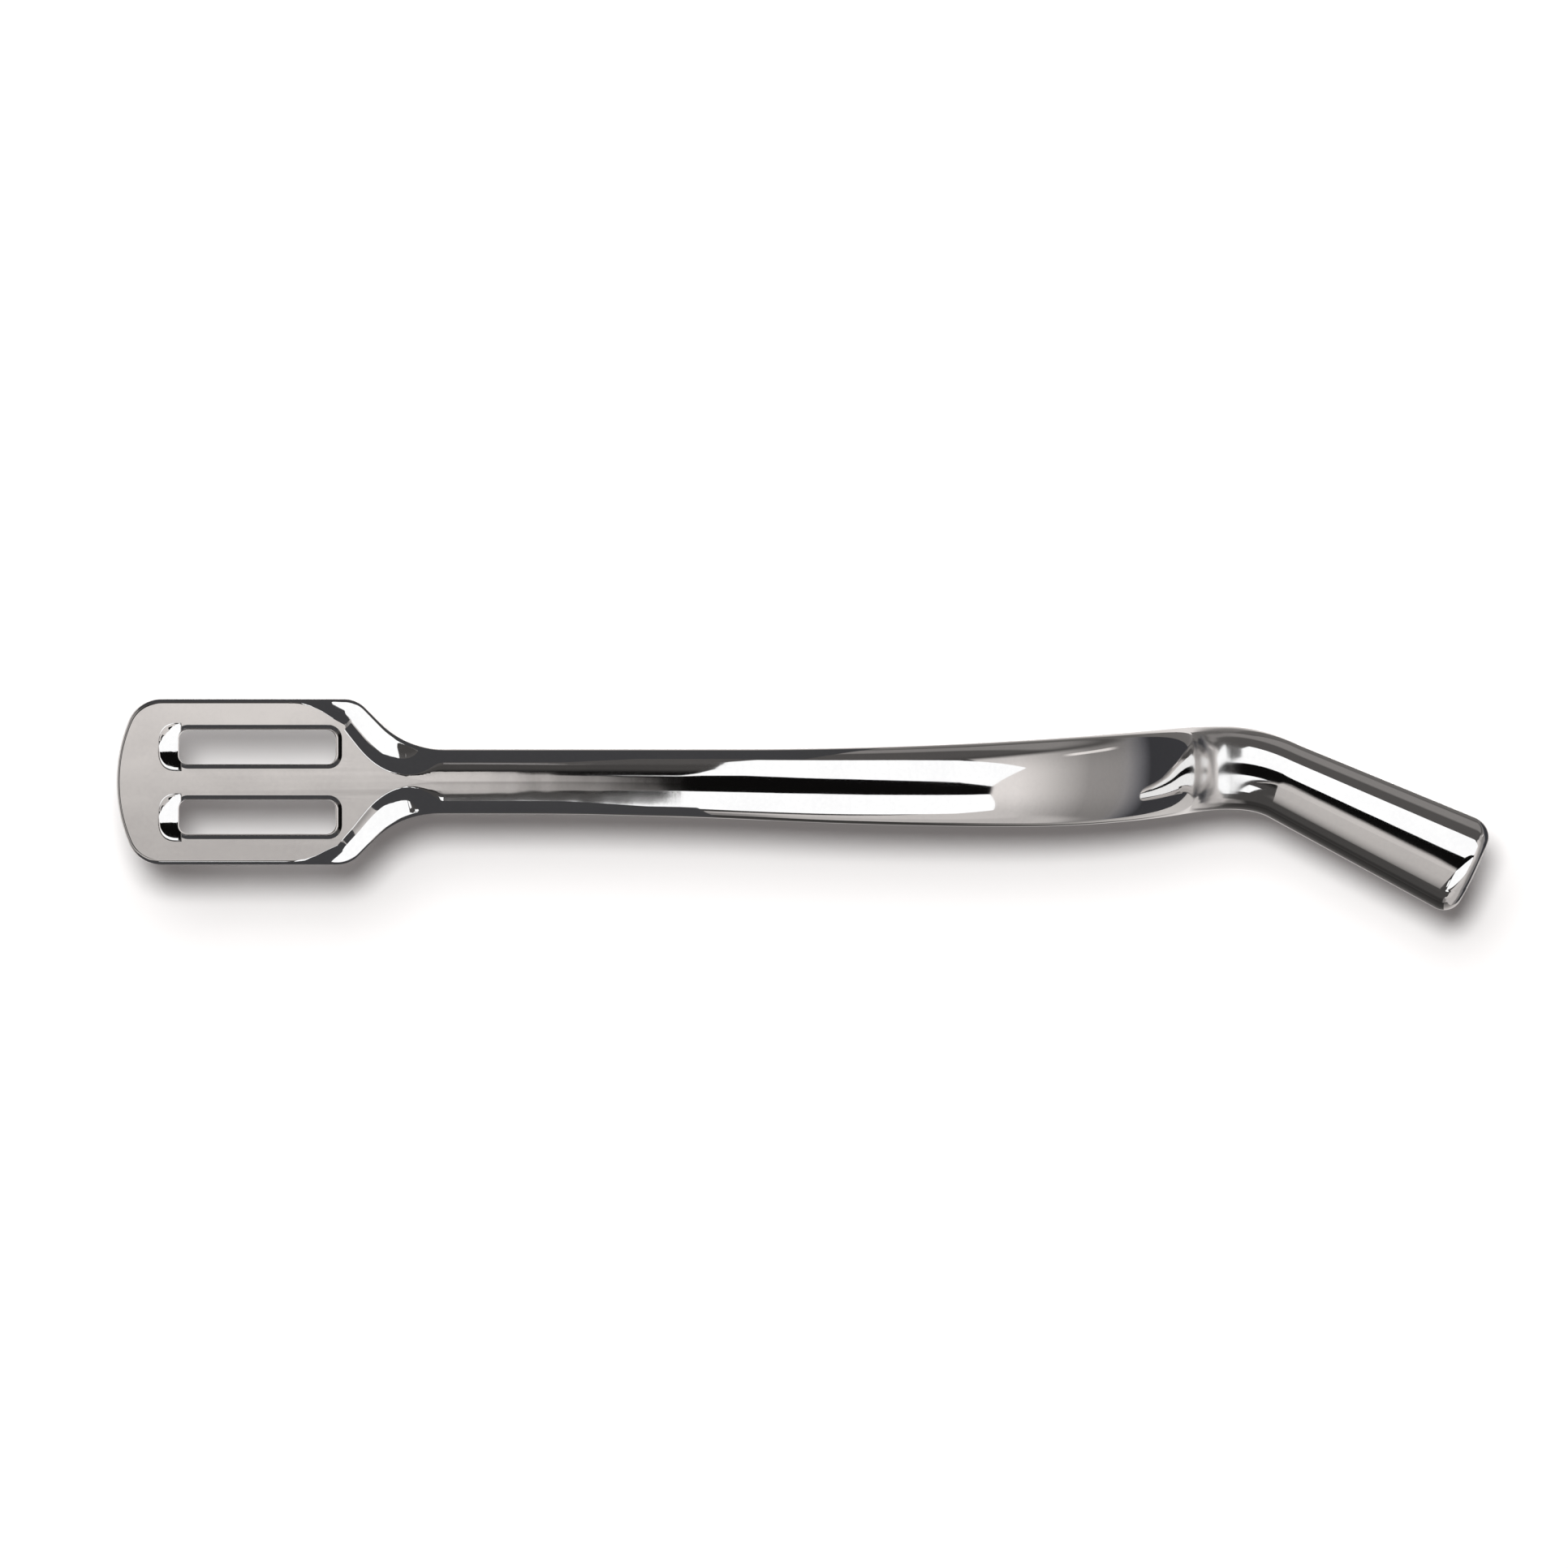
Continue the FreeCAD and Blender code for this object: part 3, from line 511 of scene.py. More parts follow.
def plateOutline():
    # points and outward normals from the upper end of the joint round the front to the lower end
    q, b = plateSizes, bandSizes
    slope, half = q["slope"], q["halfHeight"]
    frontHub = q["length"] - q["frontRadius"]
    reach = q["frontRadius"] - q["corner"]
    cornerU = frontHub + math.sqrt(reach**2 - (half - q["corner"]) ** 2)
    turn = math.degrees(math.asin((half - q["corner"]) / reach))
    bends, slants, flats, rounds = 16, 6, 16, 12    # steps of each part of the outline

    def side(sign, level, start):
        low = np.array((start + q["throat"] * sind(slope), level + q["throat"] * (1 - cosd(slope))))
        rise = half - q["shoulder"] * (1 - cosd(slope)) - low[1]
        high = low + rise * np.array((cosd(slope) / sind(slope), 1))
        top = high[0] + q["shoulder"] * sind(slope)
        path = []
        if start > 0:
            path += [(np.array((start * t, level)), 90.0) for t in (0.0, 0.5)]
        for i in range(bends + 1):
            a = slope * i / bends
            hub = np.array((start, level + q["throat"]))
            path.append((hub + q["throat"] * np.array((sind(a), -cosd(a))), 90 + a))
        for i in range(1, slants):
            path.append((lerp(low, high, i / slants), 90 + slope))
        for i in range(bends + 1):
            a = 90 + slope * (1 - i / bends)
            hub = np.array((top, half - q["shoulder"]))
            path.append((hub + q["shoulder"] * np.array((cosd(a), sind(a))), a))
        for i in range(1, flats):
            path.append((np.array((lerp(top, cornerU, i / flats), half)), 90.0))
        for i in range(rounds + 1):
            a = 90 + (turn - 90) * i / rounds
            hub = np.array((cornerU, half - q["corner"]))
            path.append((hub + q["corner"] * np.array((cosd(a), sind(a))), a))
        return [(p * (1, sign), a * sign) for p, a in path]

    upper = side(1, b["top"], 0.0)
    lower = side(-1, b["bottom"], q["lowerThroat"])
    front = []
    for i in range(1, 2 * rounds):
        a = turn * (1 - i / rounds)
        spoke = q["frontRadius"] * np.array((cosd(a), sind(a)))
        front.append((np.array((frontHub, 0)) + spoke, a))
    return upper + front + lower[::-1]


def borderAt(u, upper):
    # (inset, drop) points of the worked border from the flat face to the outline: it goes from the
    # crowned bar at the joint over a cove along the shoulder to a plain rounding
    q, b = plateSizes, bandSizes
    half = (b["top"] + b["bottom"]) / 2
    table = q["upperBorder"] if upper else q["lowerBorder"]
    reach = min(u, q["evenOut"]) * np.linspace(-1, 1, 7)
    spots, widths = [0.0] + [t[0] for t in table], [half] + [t[1] for t in table]
    width = float(np.interp(u + reach, spots, widths).mean())
    share = q["coveShare"][0 if upper else 1]
    lead = q["lead"][0] * (1 - ease(u / q["lead"][1]))
    turnIn, turnOut, lip = q["coveTurns"]
    turns = (lead, lead + turnIn, lead + share, lead + share + turnOut, lip, 1.0)
    toCove = ease(u / q["coveRun"])
    toEdge = ease((u - q["coveEnd"][0]) / q["coveEnd"][1])
    deep = lerp(b["crownDepth"], width, toEdge)
    result = []
    cove = 0.0
    for i in range(crownSteps + 1):
        c, s = superPoint(90 * i / crownSteps, lerp(b["fullness"], 2.0, toEdge))
        plain = np.array((width * (1 - s), deep * (1 - c)))
        t = i / crownSteps
        if i:
            tilt = float(np.interp((i - 0.5) / crownSteps, turns, q["coveTilts"]))
            cove += width / crownSteps * sind(tilt) / cosd(tilt)
        hollow = np.array((width * (1 - t), cove))
        result.append(plain + (hollow - plain) * toCove * (1 - toEdge))
    return result


def buildPlate():
    # in the plate's own frame: u to the front, w outwards from the inner face, z up
    q, b = plateSizes, bandSizes
    shell = Shell()
    thick, r = b["branchThickness"], b["innerRound"]
    steps, wall = 5, 6
    columns = []
    for point, angle in plateOutline():
        away = np.array((cosd(angle), sind(angle)))
        column = []
        for inset, drop in borderAt(point[0], point[1] > 0):
            spot = point - away * inset
            column.append((spot[0], thick - drop, spot[1]))
        column.append((point[0], (column[-1][1] + r) / 2, point[1]))
        for i in range(steps + 1):
            a = 90 * i / steps
            spot = point - away * r * (1 - cosd(a))
            column.append((spot[0], r * (1 - sind(a)), spot[1]))
        columns.append(shell.add(column))
    for one, two in zip(columns, columns[1:]):
        shell.strip(one, two, "plate")
    innerEdge = [c[-1] for c in columns]
    outerEdge = [c[0] for c in columns]
    top, bottom = shell.points[innerEdge[0]][2], shell.points[innerEdge[-1]][2]
    joint = shell.add((0.0, 0.0, lerp(bottom, top, i / wall)) for i in range(1, wall))

    def fill(loop, flip):
        ring = [Vector((shell.points[c][0], shell.points[c][2], 0)) for c in loop]
        for tri in tessellate_polygon([ring]):
            corners = [loop[k] for k in tri]
            a, c, d = (np.array(shell.points[k]) for k in corners)
            if (np.cross(c - a, d - a)[1] > 0) != flip:
                corners.reverse()
            shell.face(corners, "plate")

    # the crown's two ends are one point at the joint
    shell.points[outerEdge[-1]] = shell.points[outerEdge[0]]
    fill(outerEdge[:-1], True)
    fill(innerEdge + joint, False)
    # the joint's own face
    end = columns[0] + joint[::-1] + columns[-1][::-1]
    shell.face(end[:-1], "plate")
    return shell


def cutterMesh(name, points, faces):
    mesh = bpy.data.meshes.new(name)
    mesh.from_pydata([tuple(p) for p in points], [], faces)
    bm = bmesh.new()
    bm.from_mesh(mesh)
    bmesh.ops.remove_doubles(bm, verts=bm.verts, dist=1e-5)
    bmesh.ops.recalc_face_normals(bm, faces=bm.faces)
    bm.to_mesh(mesh)
    bm.free()
    obj = bpy.data.objects.new(name, mesh)
    scene.collection.objects.link(obj)
    return obj


def slotCutter(level):
    # a strap slot with rounded rims on both faces of the plate
    q = plateSizes
    thick, rim = bandSizes["branchThickness"], list(q["slotRim"])
    front = q["length"] - q["slotFront"]
    length, height = q["slot"]
    middle = front - length / 2
    cornerSteps, clear = 8, 0.5    # the cutter stands clear of both faces

    def loop(offset, depth):
        r = q["slotCorner"] + offset
        result = []
        for k, (su, sz) in enumerate(((1, 1), (-1, 1), (-1, -1), (1, -1))):
            for i in range(cornerSteps + 1):
                a = 90 * k + 90 * i / cornerSteps
                u = middle + su * (length / 2 - q["slotCorner"]) + r * cosd(a)
                z = level + sz * (height / 2 - q["slotCorner"]) + r * sind(a)
                result.append((u, depth, z))
        return result

    profile = [(rim[0][0] + clear, -clear)] + rim
    profile += [(o, thick - d) for o, d in profile[::-1]]
    shell = Shell()
    rings = [shell.add(loop(o, d)) for o, d in profile]
    for one, two in zip(rings, rings[1:]):
        shell.strip(one, two, "slot", closed=True)
    shell.face(rings[0][::-1], "slot")
    shell.face(rings[-1], "slot")
    return cutterMesh("slotCutter", shell.points, shell.faces)


def reliefCutter(level):
    # the scoop at a slot's front end: a D in outline, with a floor that falls towards the slot
    q = plateSizes
    front = q["length"] - q["slotFront"]
    length, half = q["relief"]
    thick = bandSizes["branchThickness"]
    back, hub, least = q["reliefBack"], q["reliefHub"], q["reliefLeast"]
    lipStart, lipHeight = q["reliefLip"]
    rim = [superPoint(a, q["reliefFullness"]) for a in np.linspace(-90, 90, 41)]
    outline = [(length * c, half * s) for c, s in rim]
    outline += [(back * t, half) for t in (0.5, 1.0)]
    outline += [(back, half * t) for t in (0.5, 0.0, -0.5, -1.0)]
    outline += [(back * 0.5, -half)]

    def floor(u, z):
        deep, fall, bow, lean, crown = q["reliefFloor"]
        return deep + fall * u + bow * u * u + lean * z + crown * z * z

    shell = Shell()
    rings = [shell.add((front + u, thick + q["cutterRise"], level + z) for u, z in outline)]
    for scale in q["reliefRings"]:
        lip = max(0.0, (scale - lipStart) / (1 - lipStart)) ** 2 * lipHeight
        ring = []
        for u, z in outline:
            x, y = hub + (u - hub) * scale, z * scale
            ring.append((front + x, thick - max(floor(x, y), least) + lip, level + y))
        rings.append(shell.add(ring))
    for one, two in zip(rings, rings[1:]):
        shell.strip(one, two, "relief", closed=True)
    shell.face(rings[0], "relief")
    shell.face(rings[-1], "relief")
    return cutterMesh("reliefCutter", shell.points, shell.faces)


def carvePlate():
    shell = buildPlate()
    plate = cutterMesh("plateBlank", shell.points, shell.faces)
    spacing = plateSizes["slotSpacing"] / 2
    cutters = [slotCutter(spacing), slotCutter(-spacing), reliefCutter(spacing), reliefCutter(-spacing)]
    for cutter in cutters:
        cut = plate.modifiers.new("cut", "BOOLEAN")
        cut.operation = "DIFFERENCE"
        cut.solver = "EXACT"
        cut.object = cutter
    graph = bpy.context.evaluated_depsgraph_get()
    mesh = bpy.data.meshes.new_from_object(plate.evaluated_get(graph))
    points = np.array([v.co[:] for v in mesh.vertices])
    faces = [tuple(p.vertices) for p in mesh.polygons]
    for obj in [plate] + cutters:
        bpy.data.objects.remove(obj)
    return points, faces


platePoints, plateFaces = carvePlate()
print("strap plate:", len(plateFaces), "faces")


def placePlate(name, side):
    # the left plate for side 1, the right one mirrored from it for side -1
    flare = bandSizes["flare"]
    inner = planPoint(90 - flare + bandSizes["branchLength"])[0]
    along = np.array((-cosd(flare), -sind(flare)))
    out = np.array((sind(flare), -cosd(flare)))
    points = np.zeros_like(platePoints)
    points[:, :2] = inner + platePoints[:, :1] * along + platePoints[:, 1:2] * out
    points[:, 1] *= side
    points[:, 2] = platePoints[:, 2]
    faces = plateFaces if side > 0 else [f[::-1] for f in plateFaces]
    normals = cornerNormals(points, faces)
    # the flat face keeps its own normal up to its edge
    area = faceNormals(points, faces)
    area /= np.linalg.norm(area, axis=1)[:, None]
    face = np.array((out[0], out[1] * side, 0))
    k = 0
    for corners, vector in zip(faces, area):
        if abs(np.dot(vector, face)) > 0.99999:
            normals[k:k + len(corners)] = [tuple(vector)] * len(corners)
        k += len(corners)
    # along the joint the plate takes the band's own normals
    ends = {}
    for column in (bandColumns[0], bandColumns[-1]):
        for c in column[0] + column[1]:
            ends[tuple(np.round(bandPoints[c], 3))] = tuple(bandNormals[c])
    k = 0
    for corners in faces:
        for c in corners:
            normal = ends.get(tuple(np.round(points[c], 3)))
            if normal is not None and np.dot(normal, normals[k]) > 0.5:
                normals[k] = normal
            k += 1
    return makeObject(name, points, faces, normals, perCorner=True)


pieces = {
    "heel_band": splitShell("heel_band"),
    "neck_weld": splitShell("neck_weld"),
    "neck": splitShell("neck"),
    "left_strap_plate": placePlate("left_strap_plate", 1),
    "right_strap_plate": placePlate("right_strap_plate", -1),
}
for node, piece in pieces.items():
    piece.name = "polished_" + node
    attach(piece, "root")
    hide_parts(node)
print("pieces:", ", ".join(p.name for p in pieces.values()))


class Sock:
    # wraps a node socket, so that plain arithmetic adds Math nodes
    def __init__(self, tree, socket):
        self.tree = tree
        self.socket = socket

    def math(self, operation, *others):
        return self.tree.node("ShaderNodeMath", {"operation": operation}, [self, *others])

    def __add__(self, other):
        return self.math("ADD", other)

    def __radd__(self, other):
        return self.math("ADD", other)

    def __sub__(self, other):
        return self.math("SUBTRACT", other)

    def __rsub__(self, other):
        return (self * -1) + other

    def __mul__(self, other):
        return self.math("MULTIPLY", other)

    def __rmul__(self, other):
        return self.math("MULTIPLY", other)


class Tree:
    # the nodes of a material or of the world
    def __init__(self, owner):
        owner.use_nodes = True
        self.tree = owner.node_tree
        self.tree.nodes.clear()

    def node(self, kind, settings=None, inputs=None, output=0):
        made = self.tree.nodes.new(kind)
        for key, value in (settings or {}).items():
            setattr(made, key, value)
        pairs = inputs.items() if isinstance(inputs, dict) else enumerate(inputs or [])
        for key, value in pairs:
            if isinstance(value, Sock):
                self.tree.links.new(value.socket, made.inputs[key])
            elif value is not None:
                made.inputs[key].default_value = value
        return Sock(self, made.outputs[output]) if made.outputs else made

    def ramp(self, value, stops):
        # grey levels along a value
        made = self.node("ShaderNodeValToRGB", inputs={"Fac": value})
        bar = made.socket.node.color_ramp
        while len(bar.elements) < len(stops):
            bar.elements.new(0.5)
        for element, (at, level) in zip(bar.elements, stops):
            element.position = at
            element.color = (level, level, level, 1)
        return made

    def blend(self, share, one, two):
        # colour one where share is 0 and two where it is 1
        made = self.node("ShaderNodeMix", {"data_type": "RGBA"}, output=2)
        node = made.socket.node
        self.tree.links.new(share.socket, node.inputs[0])
        node.inputs[6].default_value = (*one, 1)
        node.inputs[7].default_value = (*two, 1)
        return made

    def rise(self, value, start, end):
        # 0 before start, 1 after end and smooth between them
        made = self.node("ShaderNodeMapRange", {"interpolation_type": "SMOOTHSTEP"})
        node = made.socket.node
        self.tree.links.new(value.socket, node.inputs["Value"])
        node.inputs["From Min"].default_value = start
        node.inputs["From Max"].default_value = end
        return made


steelLook = {
    "colour": (0.80, 0.79, 0.78),
    "dull": (0.76, 0.75, 0.745),   # where the buff has left more grain
    "polish": 0.045,               # roughness of the mirror polish
    "satin": 0.22,                 # roughness at the root of the neck
    "waves": 0.000009,             # height of the buffing waves
    "grainStretch": (180.0, 900.0, 1500.0),
    "hazeScale": 160.0,
    "markScale": 2600.0,
    "waveScale": 230.0,
    "grainRough": 0.02,            # how much grain and haze add to the roughness
    "hazeRough": 0.03,
    "dullAt": (0.35, 0.7),         # haze where the dull colour begins and is full
    "plateSatin": 0.09,            # share of satin on the flat faces of the plates
    "flatLimit": 0.9985,           # a face is flat when it looks this straight to a side
    # millimetres from the band's outside: satin begins and is full, begins to fade and ends
    "weldSatin": (-1.9, 0.3, 1.2, 3.8),
}


def steelMaterial(name, look):
    material = bpy.data.materials.new(name)
    tree = Tree(material)
    place = tree.node("ShaderNodeTexCoord", output=3)
    satin = tree.node("ShaderNodeAttribute", {"attribute_name": "satin"}, output=2)

    def noise(vector, scale, detail):
        inputs = {"Vector": vector, "Scale": scale, "Detail": detail}
        return tree.node("ShaderNodeTexNoise", inputs=inputs)

    stretch = tree.node("ShaderNodeMapping", inputs={"Vector": place, "Scale": look["grainStretch"]})
    grain = noise(stretch, 1.0, 4.0)
    haze = noise(place, look["hazeScale"], 2.0)
    mark = noise(place, look["markScale"], 2.0)
    base = look["polish"] - (look["grainRough"] + look["hazeRough"]) / 2
    rough = grain * look["grainRough"] + haze * look["hazeRough"]
    rough = rough + satin * (look["satin"] - look["polish"]) + base
    tone = tree.rise(haze * 0.6 + mark * 0.4, *look["dullAt"])
    colour = tree.blend(tone, look["colour"], look["dull"])
    swell = noise(place, look["waveScale"], 1.0)
    height = swell * look["waves"] + mark * (look["waves"] * 0.02)
    bump = tree.node("ShaderNodeBump", inputs={"Height": height, "Strength": 1.0, "Distance": 1.0})
    shader = tree.node(
        "ShaderNodeBsdfPrincipled",
        inputs={"Base Color": colour, "Metallic": 1.0, "Roughness": rough, "Normal": bump},
    )
    tree.node("ShaderNodeOutputMaterial", inputs={"Surface": shader})
    return material


def markSatin(piece, wanted):
    # how satin each face corner is: 0 is a mirror polish
    layer = piece.data.color_attributes.new("satin", "FLOAT_COLOR", "CORNER")
    values = []
    for polygon in piece.data.polygons:
        for index in polygon.vertices:
            level = wanted(piece.data.vertices[index].co / milli, polygon)
            values += [level, level, level, 1.0]
    layer.data.foreach_set("color", values)


def weldSatin(spot, polygon):
    place = spot.x - heelOuter
    start, full, fade, end = steelLook["weldSatin"]
    return ease((place - start) / (full - start)) * (1 - ease((place - fade) / (end - fade)))


def plateSatin(spot, polygon):
    flat = abs(polygon.normal.y) > steelLook["flatLimit"]
    return steelLook["plateSatin"] if flat else 0.0


steel = steelMaterial("polishedSteel", steelLook)
for node, piece in pieces.items():
    markSatin(piece, plateSatin if "plate" in node else weldSatin)
    piece.data.materials.append(steel)
print("material: polished steel, satin at the weld")


# the stage: reflectors, floor, camera and lamps
stageSizes = {
    "frameWidth": 0.1346,    # what the picture spans at the near branch
    "centre": (0.00072, -0.00018),
    "lens": 1600.0,
    "cameraX": -0.045,       # the camera stands level with the strap plates
    "gap": 0.16,             # far branch to the floor behind the spur
    "cardPlane": -0.5,
    # aside, up, radius and share of each lamp
    "lamps": ((-0.022, 0.054, 0.040, 0.57), (-0.055, 0.130, 0.112, 0.33)),
    "lampBack": 0.05,        # how far the lamps stand behind the camera
    "lampAim": 0.045,        # how far to the right they aim
    "lampGain": 1.02,
    "floorHalf": 3.0,
    "paper": (0.9, 0.89, 0.885, 1),
    "paperGlow": (1.0, 0.9, 0.88, 1),
    "glowShare": 0.12,       # of that glow, which only the camera sees
}


def emission(name, colour, sideways=None, upwards=None):
    # a card's glow; each ramp is a list of (metres, strength) along x or z
    material = bpy.data.materials.new(name)
    tree = Tree(material)
    glow = None
    place = tree.node("ShaderNodeNewGeometry", output=0)
    axes = tree.node("ShaderNodeSeparateXYZ", inputs=[place])
    for axis, ramp in (("X", sideways), ("Z", upwards)):
        if ramp:
            value = Sock(tree, axes.socket.node.outputs[axis])
            low, high = ramp[0][0], ramp[-1][0]
            stops = [((at - low) / (high - low), level) for at, level in ramp]
            part = tree.ramp((value - low) * (1 / (high - low)), stops)
            glow = part if glow is None else glow * part
    strength = 1.0 if glow is None else glow
    shine = tree.node("ShaderNodeEmission", inputs={"Color": (*colour, 1), "Strength": strength})
    tree.node("ShaderNodeOutputMaterial", inputs={"Surface": shine})
    return material


def card(name, outline, colour, sideways=None, upwards=None, plane=None, level=None):
    # a flat reflector, which only polished metal sees: upright in front of the spur with corners
    # as (x, z), or lying at a level with corners as (x, y)
    y = stageSizes["cardPlane"] if plane is None else plane
    mesh = bpy.data.meshes.new(name)
    ring = [Vector((x, z, 0)) for x, z in outline]
    spots = [(x, y, z) if level is None else (x, z, level) for x, z in outline]
    mesh.from_pydata(spots, [], tessellate_polygon([ring]))
    mesh.materials.append(emission(name, colour, sideways, upwards))
    obj = bpy.data.objects.new(name, mesh)
    scene.collection.objects.link(obj)
    obj.visible_camera = False
    obj.visible_diffuse = False
    obj.visible_shadow = False


warmGrey = (1.0, 0.955, 0.93)
white = (1.27, 1.285, 1.30)
card(
    "greyCard",
    [
        (-0.036, -0.13), (0.0010, -0.13), (0.0040, -0.14), (0.0085, -0.25), (0.0155, -0.14),
        (0.0245, -0.11), (0.0245, 0.06), (0.0155, 0.09), (0.0102, 0.17), (0.0035, 0.15),
        (0.0010, 0.12), (-0.036, 0.12),
    ],
    warmGrey,
    sideways=[(-0.036, 1.0), (0.001, 1.0), (0.0088, 0.85), (0.0163, 0.42), (0.0245, 0.15)],
    upwards=[(-0.25, 0.76), (-0.04, 0.66), (-0.007, 0.55), (0.0, 0.70), (0.007, 0.86), (0.2, 0.8)],
)
card(
    "lowLeftCard",
    [
        (-0.9, -2.4), (-0.52, -1.2), (-0.23, -0.6), (-0.085, -0.3), (-0.0375, -0.2),
        (0.0, -0.125), (0.0, -0.095), (-0.5, -0.3), (-0.9, -0.6),
    ],
    warmGrey,
    upwards=[(-2.4, 0.04), (-1.2, 0.10), (-0.8, 0.34), (-0.38, 0.58), (-0.095, 0.62)],
    plane=-0.501,
)
card("rootCard", [(-0.07, -0.9), (0.005, -0.85), (0.005, -0.36), (-0.05, -0.42)], white, plane=-0.499)
card(
    "upperBox",
    [
        (0.0215, 0.085), (0.06, 0.105), (0.12, 0.115), (0.23, 0.085), (0.5, 0.040), (0.85, -0.02),
        (1.5, 0.42), (0.75, 0.64), (0.23, 0.95), (0.13, 0.62), (0.105, 0.42), (0.085, 0.26), (0.055, 0.15),
    ],
    white,
)
card(
    "lowerBox",
    [
        (0.0262, -0.11), (0.23, -0.10), (0.85, -0.15), (1.3, -0.97), (0.75, -1.3), (0.23, -1.9),
        (0.0245, -1.6), (0.0238, -0.35),
    ],
    white,
)
for side, end in ((1, 0.012), (-1, -0.005)):
    card(
        "plateFlag",
        [(-0.075, -0.062), (-0.016, -0.062), (-0.01, -0.05), (end, -0.05), (end, 0.0), (-0.075, 0.0)],
        (0.062, 0.062, 0.066),
        level=0.03 * side,
    )
card(
    "backCard",
    [(-0.3, -0.3), (0.06, -0.3), (0.06, 0.3), (-0.3, 0.3)],
    warmGrey,
    sideways=[(-0.3, 0.3), (-0.1, 0.9), (0.06, 1.0)],
    upwards=[
        (-0.3, 0.03), (-0.12, 0.06), (-0.05, 0.15), (-0.02, 0.75), (0.04, 0.8), (0.1, 0.25),
        (0.3, 0.12),
    ],
    plane=0.12,
)
card(
    "backRightCard",
    [(0.06, -0.3), (0.105, -0.3), (0.105, 0.3), (0.06, 0.3)],
    warmGrey,
    upwards=[(-0.3, 0.05), (-0.12, 0.35), (-0.05, 0.65), (0.0, 0.5), (0.03, 0.17), (0.3, 0.12)],
    plane=0.12,
)
card("streakCard", [(0.012, 0.46), (0.024, 0.40), (0.024, 0.50), (0.014, 0.56)], (0.3, 0.29, 0.29))
print("reflectors are up")


# The studio that polished metal sees round the cards. Each pair is where a change begins and ends,
# in degrees: aside from straight ahead of the spur, up from level, steep either way from level, and
# turned, which is aside but stays even at the poles. Pairs along x or y are of a unit direction.
studioLook = {
    "dark": 0.004,
    "steepDark": ((16, 30), 0.066),
    "turnedDark": ((110, 122), 0.07),
    "farRun": (55, 70),                 # turned: where the next table begins and its length
    "far": ((0.0, 0.87), (0.19, 0.85), (0.4, 0.50), (0.55, 0.28), (0.78, 0.25), (0.95, 0.0)),
    "right": ((60, 61.5), (33, 42)),    # aside and up
    "rightDip": ((2, 40), 0.3),         # steep
    "rightLift": 0.05,
    "behind": (0.0, 0.16),              # along y
    "above": ((38, 50), 0.26),
    "aboveFront": 0.15,
    "strip": ((26, 27.5), (30, 31.5), (82, 88), (100, 106), 0.6),    # up twice, turned twice
    "below": (38, 50),
    "floor": (0.04, ((-0.12, -0.02), 0.2), ((0.02, 0.14), 0.32)),    # along x
    "left": ((-170, -125), (-125, -76), (20, 60), 0.9),    # aside twice, steep
    "near": ((-70, -56), (-34, -20), (22, 60), 0.42),      # aside twice, steep
    "coolFrom": (104, 122),             # turned
    "warm": (1.03, 0.985, 0.965),
    "cool": (0.96, 0.96, 1.06),
    "fill": 0.06,                       # what rays other than camera and glossy ones see
}


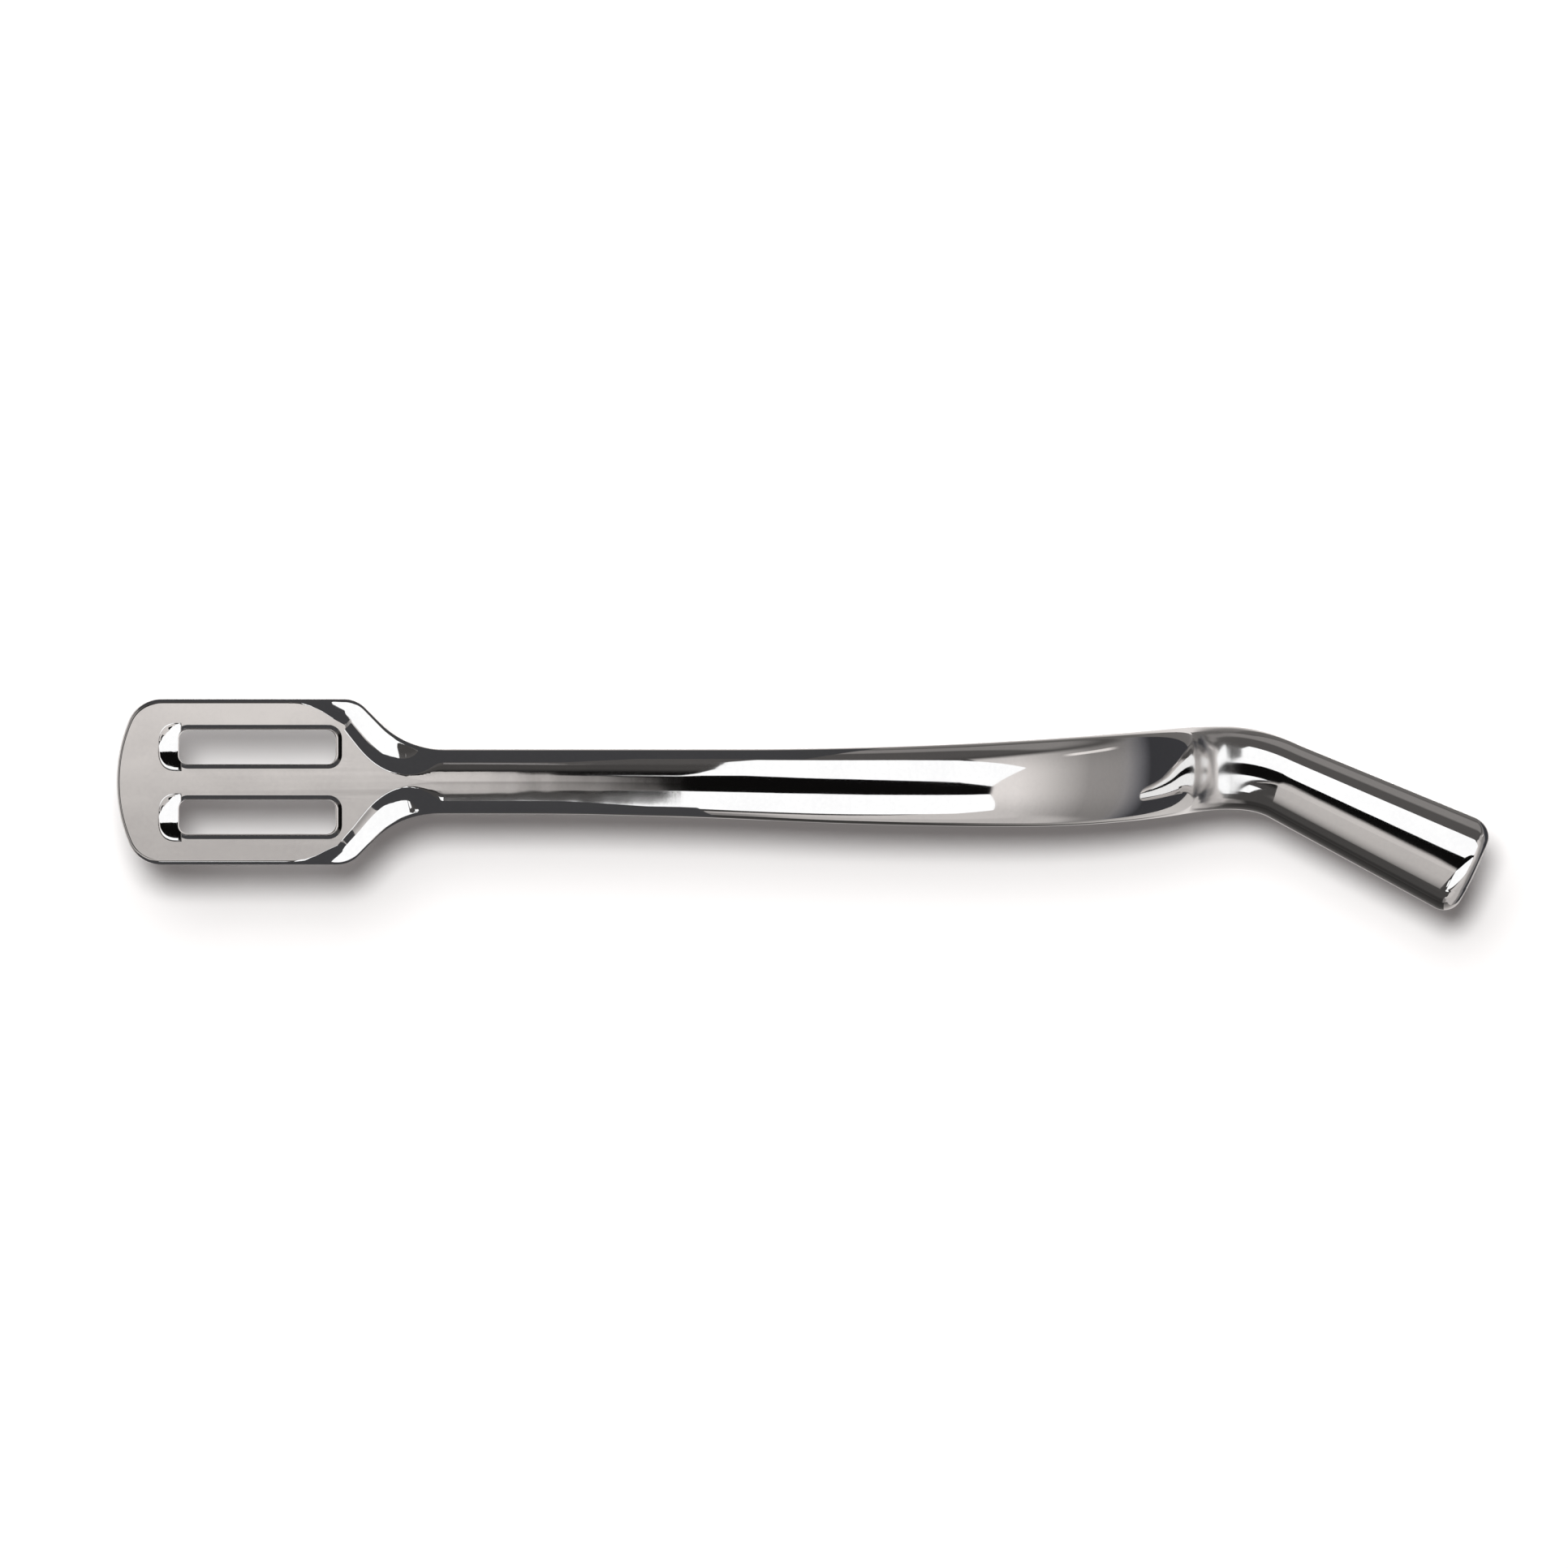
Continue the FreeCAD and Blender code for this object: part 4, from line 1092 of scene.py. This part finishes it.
def buildWorld(look):
    # camera rays see a white room; polished metal sees the studio round the cards
    world = bpy.data.worlds.new("studio")
    scene.world = world
    tree = Tree(world)
    ray = tree.node("ShaderNodeTexCoord", output=0)
    axes = tree.node("ShaderNodeSeparateXYZ", inputs=[ray])
    x, y, z = (Sock(tree, axes.socket.node.outputs[k]) for k in range(3))
    aside = tree.node("ShaderNodeMath", {"operation": "ARCTAN2"}, [x, y * -1]) * (180 / math.pi)
    turned = tree.node("ShaderNodeMath", {"operation": "ARCTAN2"}, [x, y * -1 + 1]) * (360 / math.pi)
    height = tree.node("ShaderNodeMath", {"operation": "ARCSINE"}, [z]) * (180 / math.pi)
    steep = tree.node("ShaderNodeMath", {"operation": "ABSOLUTE"}, [height])

    def zone(value, pairs, strength):
        # rises over the first pair and falls over the second
        rising, falling = pairs
        return tree.rise(value, *rising) * (1 - tree.rise(value, *falling)) * strength

    def part(value, values):
        pair, strength = values
        return tree.rise(value, *pair) * strength

    dark = part(steep, look["steepDark"]) + look["dark"] + part(turned, look["turnedDark"])
    farStart, farLength = look["farRun"]
    far = tree.ramp((turned - farStart) * (1 / farLength), look["far"])
    rightAside, rightUp = look["right"]
    right = tree.rise(aside, *rightAside) * (1 - tree.rise(height, *rightUp))
    far = far * (1 - part(steep, look["rightDip"])) + look["rightLift"]
    tone = dark * (1 - right) + right * far
    behind = tree.rise(y, *look["behind"])
    abovePair, aboveTone = look["above"]
    front = look["aboveFront"]
    above = tree.rise(height, *abovePair) * (behind * (1 - front) + front)
    tone = tone * (1 - above) + above * aboveTone
    strip = look["strip"]
    tone = tone + zone(height, strip[:2], 1.0) * zone(turned, strip[2:4], strip[4])
    below = tree.rise(height * -1, *look["below"]) * behind
    floorTone = part(x, look["floor"][1]) + part(x, look["floor"][2]) + look["floor"][0]
    tone = tone * (1 - below) + below * floorTone
    for *pairs, fade, strength in (look["left"], look["near"]):
        tone = tone + zone(aside, pairs, strength) * (1 - tree.rise(steep, *fade))
    tint = tree.blend(tree.rise(turned, *look["coolFrom"]) * (1 - below), look["warm"], look["cool"])
    studio = tree.node("ShaderNodeBackground", inputs={"Color": tint, "Strength": tone})
    room = tree.node("ShaderNodeBackground", inputs={"Color": (1, 1, 1, 1), "Strength": 1.0})
    faint = tree.node("ShaderNodeBackground", inputs={"Color": (1, 1, 1, 1), "Strength": look["fill"]})
    rays = tree.node("ShaderNodeLightPath")
    camera = Sock(tree, rays.socket.node.outputs["Is Camera Ray"])
    glossy = Sock(tree, rays.socket.node.outputs["Is Glossy Ray"])
    other = tree.node("ShaderNodeMixShader", inputs=[glossy, faint, studio])
    final = tree.node("ShaderNodeMixShader", inputs=[camera, other, room])
    tree.node("ShaderNodeOutputWorld", inputs={"Surface": final})


buildWorld(studioLook)


def buildFloor():
    # the white ground behind the spur, which keeps its soft shadow; clear from its far side
    s = stageSizes
    y, half = cadHigh.y + s["gap"], s["floorHalf"]
    mesh = bpy.data.meshes.new("floor")
    corners = [(-half, y, -half), (half, y, -half), (half, y, half), (-half, y, half)]
    mesh.from_pydata(corners, [], [(0, 1, 2, 3)])
    material = bpy.data.materials.new("floor")
    tree = Tree(material)
    paper = tree.node("ShaderNodeBsdfDiffuse", inputs={"Color": s["paper"]})
    rays = tree.node("ShaderNodeLightPath")
    camera = Sock(tree, rays.socket.node.outputs["Is Camera Ray"])
    glow = {"Color": s["paperGlow"], "Strength": camera * s["glowShare"]}
    lift = tree.node("ShaderNodeEmission", inputs=glow)
    lit = tree.node("ShaderNodeAddShader", inputs=[paper, lift])
    clear = tree.node("ShaderNodeBsdfTransparent")
    back = tree.node("ShaderNodeNewGeometry", output=6)
    mixed = tree.node("ShaderNodeMixShader", inputs=[back, lit, clear])
    tree.node("ShaderNodeOutputMaterial", inputs={"Surface": mixed})
    mesh.materials.append(material)
    obj = bpy.data.objects.new("floor", mesh)
    scene.collection.objects.link(obj)
    obj.visible_glossy = False
    return y


floorPlace = buildFloor()


def buildCamera():
    s = stageSizes
    data = bpy.data.cameras.new("camera")
    data.lens = s["lens"]
    data.sensor_width = 36
    nearBranch = cadLow.y
    distance = s["frameWidth"] * s["lens"] / data.sensor_width
    obj = bpy.data.objects.new("camera", data)
    obj.location = (s["cameraX"], nearBranch - distance, s["centre"][1])
    aim = Vector((s["centre"][0], nearBranch, s["centre"][1])) - obj.location
    obj.rotation_mode = "QUATERNION"
    obj.rotation_quaternion = aim.to_track_quat("-Z", "Y")
    data.clip_start, data.clip_end = 0.1, 20
    scene.collection.objects.link(obj)
    scene.camera = obj
    return obj


def buildLamps(camera):
    # two soft lamps above and left of the camera: a tight shadow and a wide faint one
    s = stageSizes
    for aside, up, radius, share in s["lamps"]:
        place = camera.location + Vector((aside, -s["lampBack"], up))
        distance = floorPlace - place.y
        lamp = bpy.data.lights.new("lamp", "AREA")
        lamp.shape = "DISK"
        lamp.size = radius * 2
        lamp.energy = share * s["lampGain"] * math.pi**2 * distance**2 / s["paper"][0]
        obj = bpy.data.objects.new("lamp", lamp)
        obj.location = place
        obj.rotation_mode = "QUATERNION"
        obj.rotation_quaternion = Vector((s["lampAim"], distance, -up)).to_track_quat("-Z", "Y")
        obj.visible_camera = False
        obj.visible_glossy = False
        scene.collection.objects.link(obj)


buildLamps(buildCamera())
scene.view_settings.view_transform = "Standard"

print("camera and light are set")
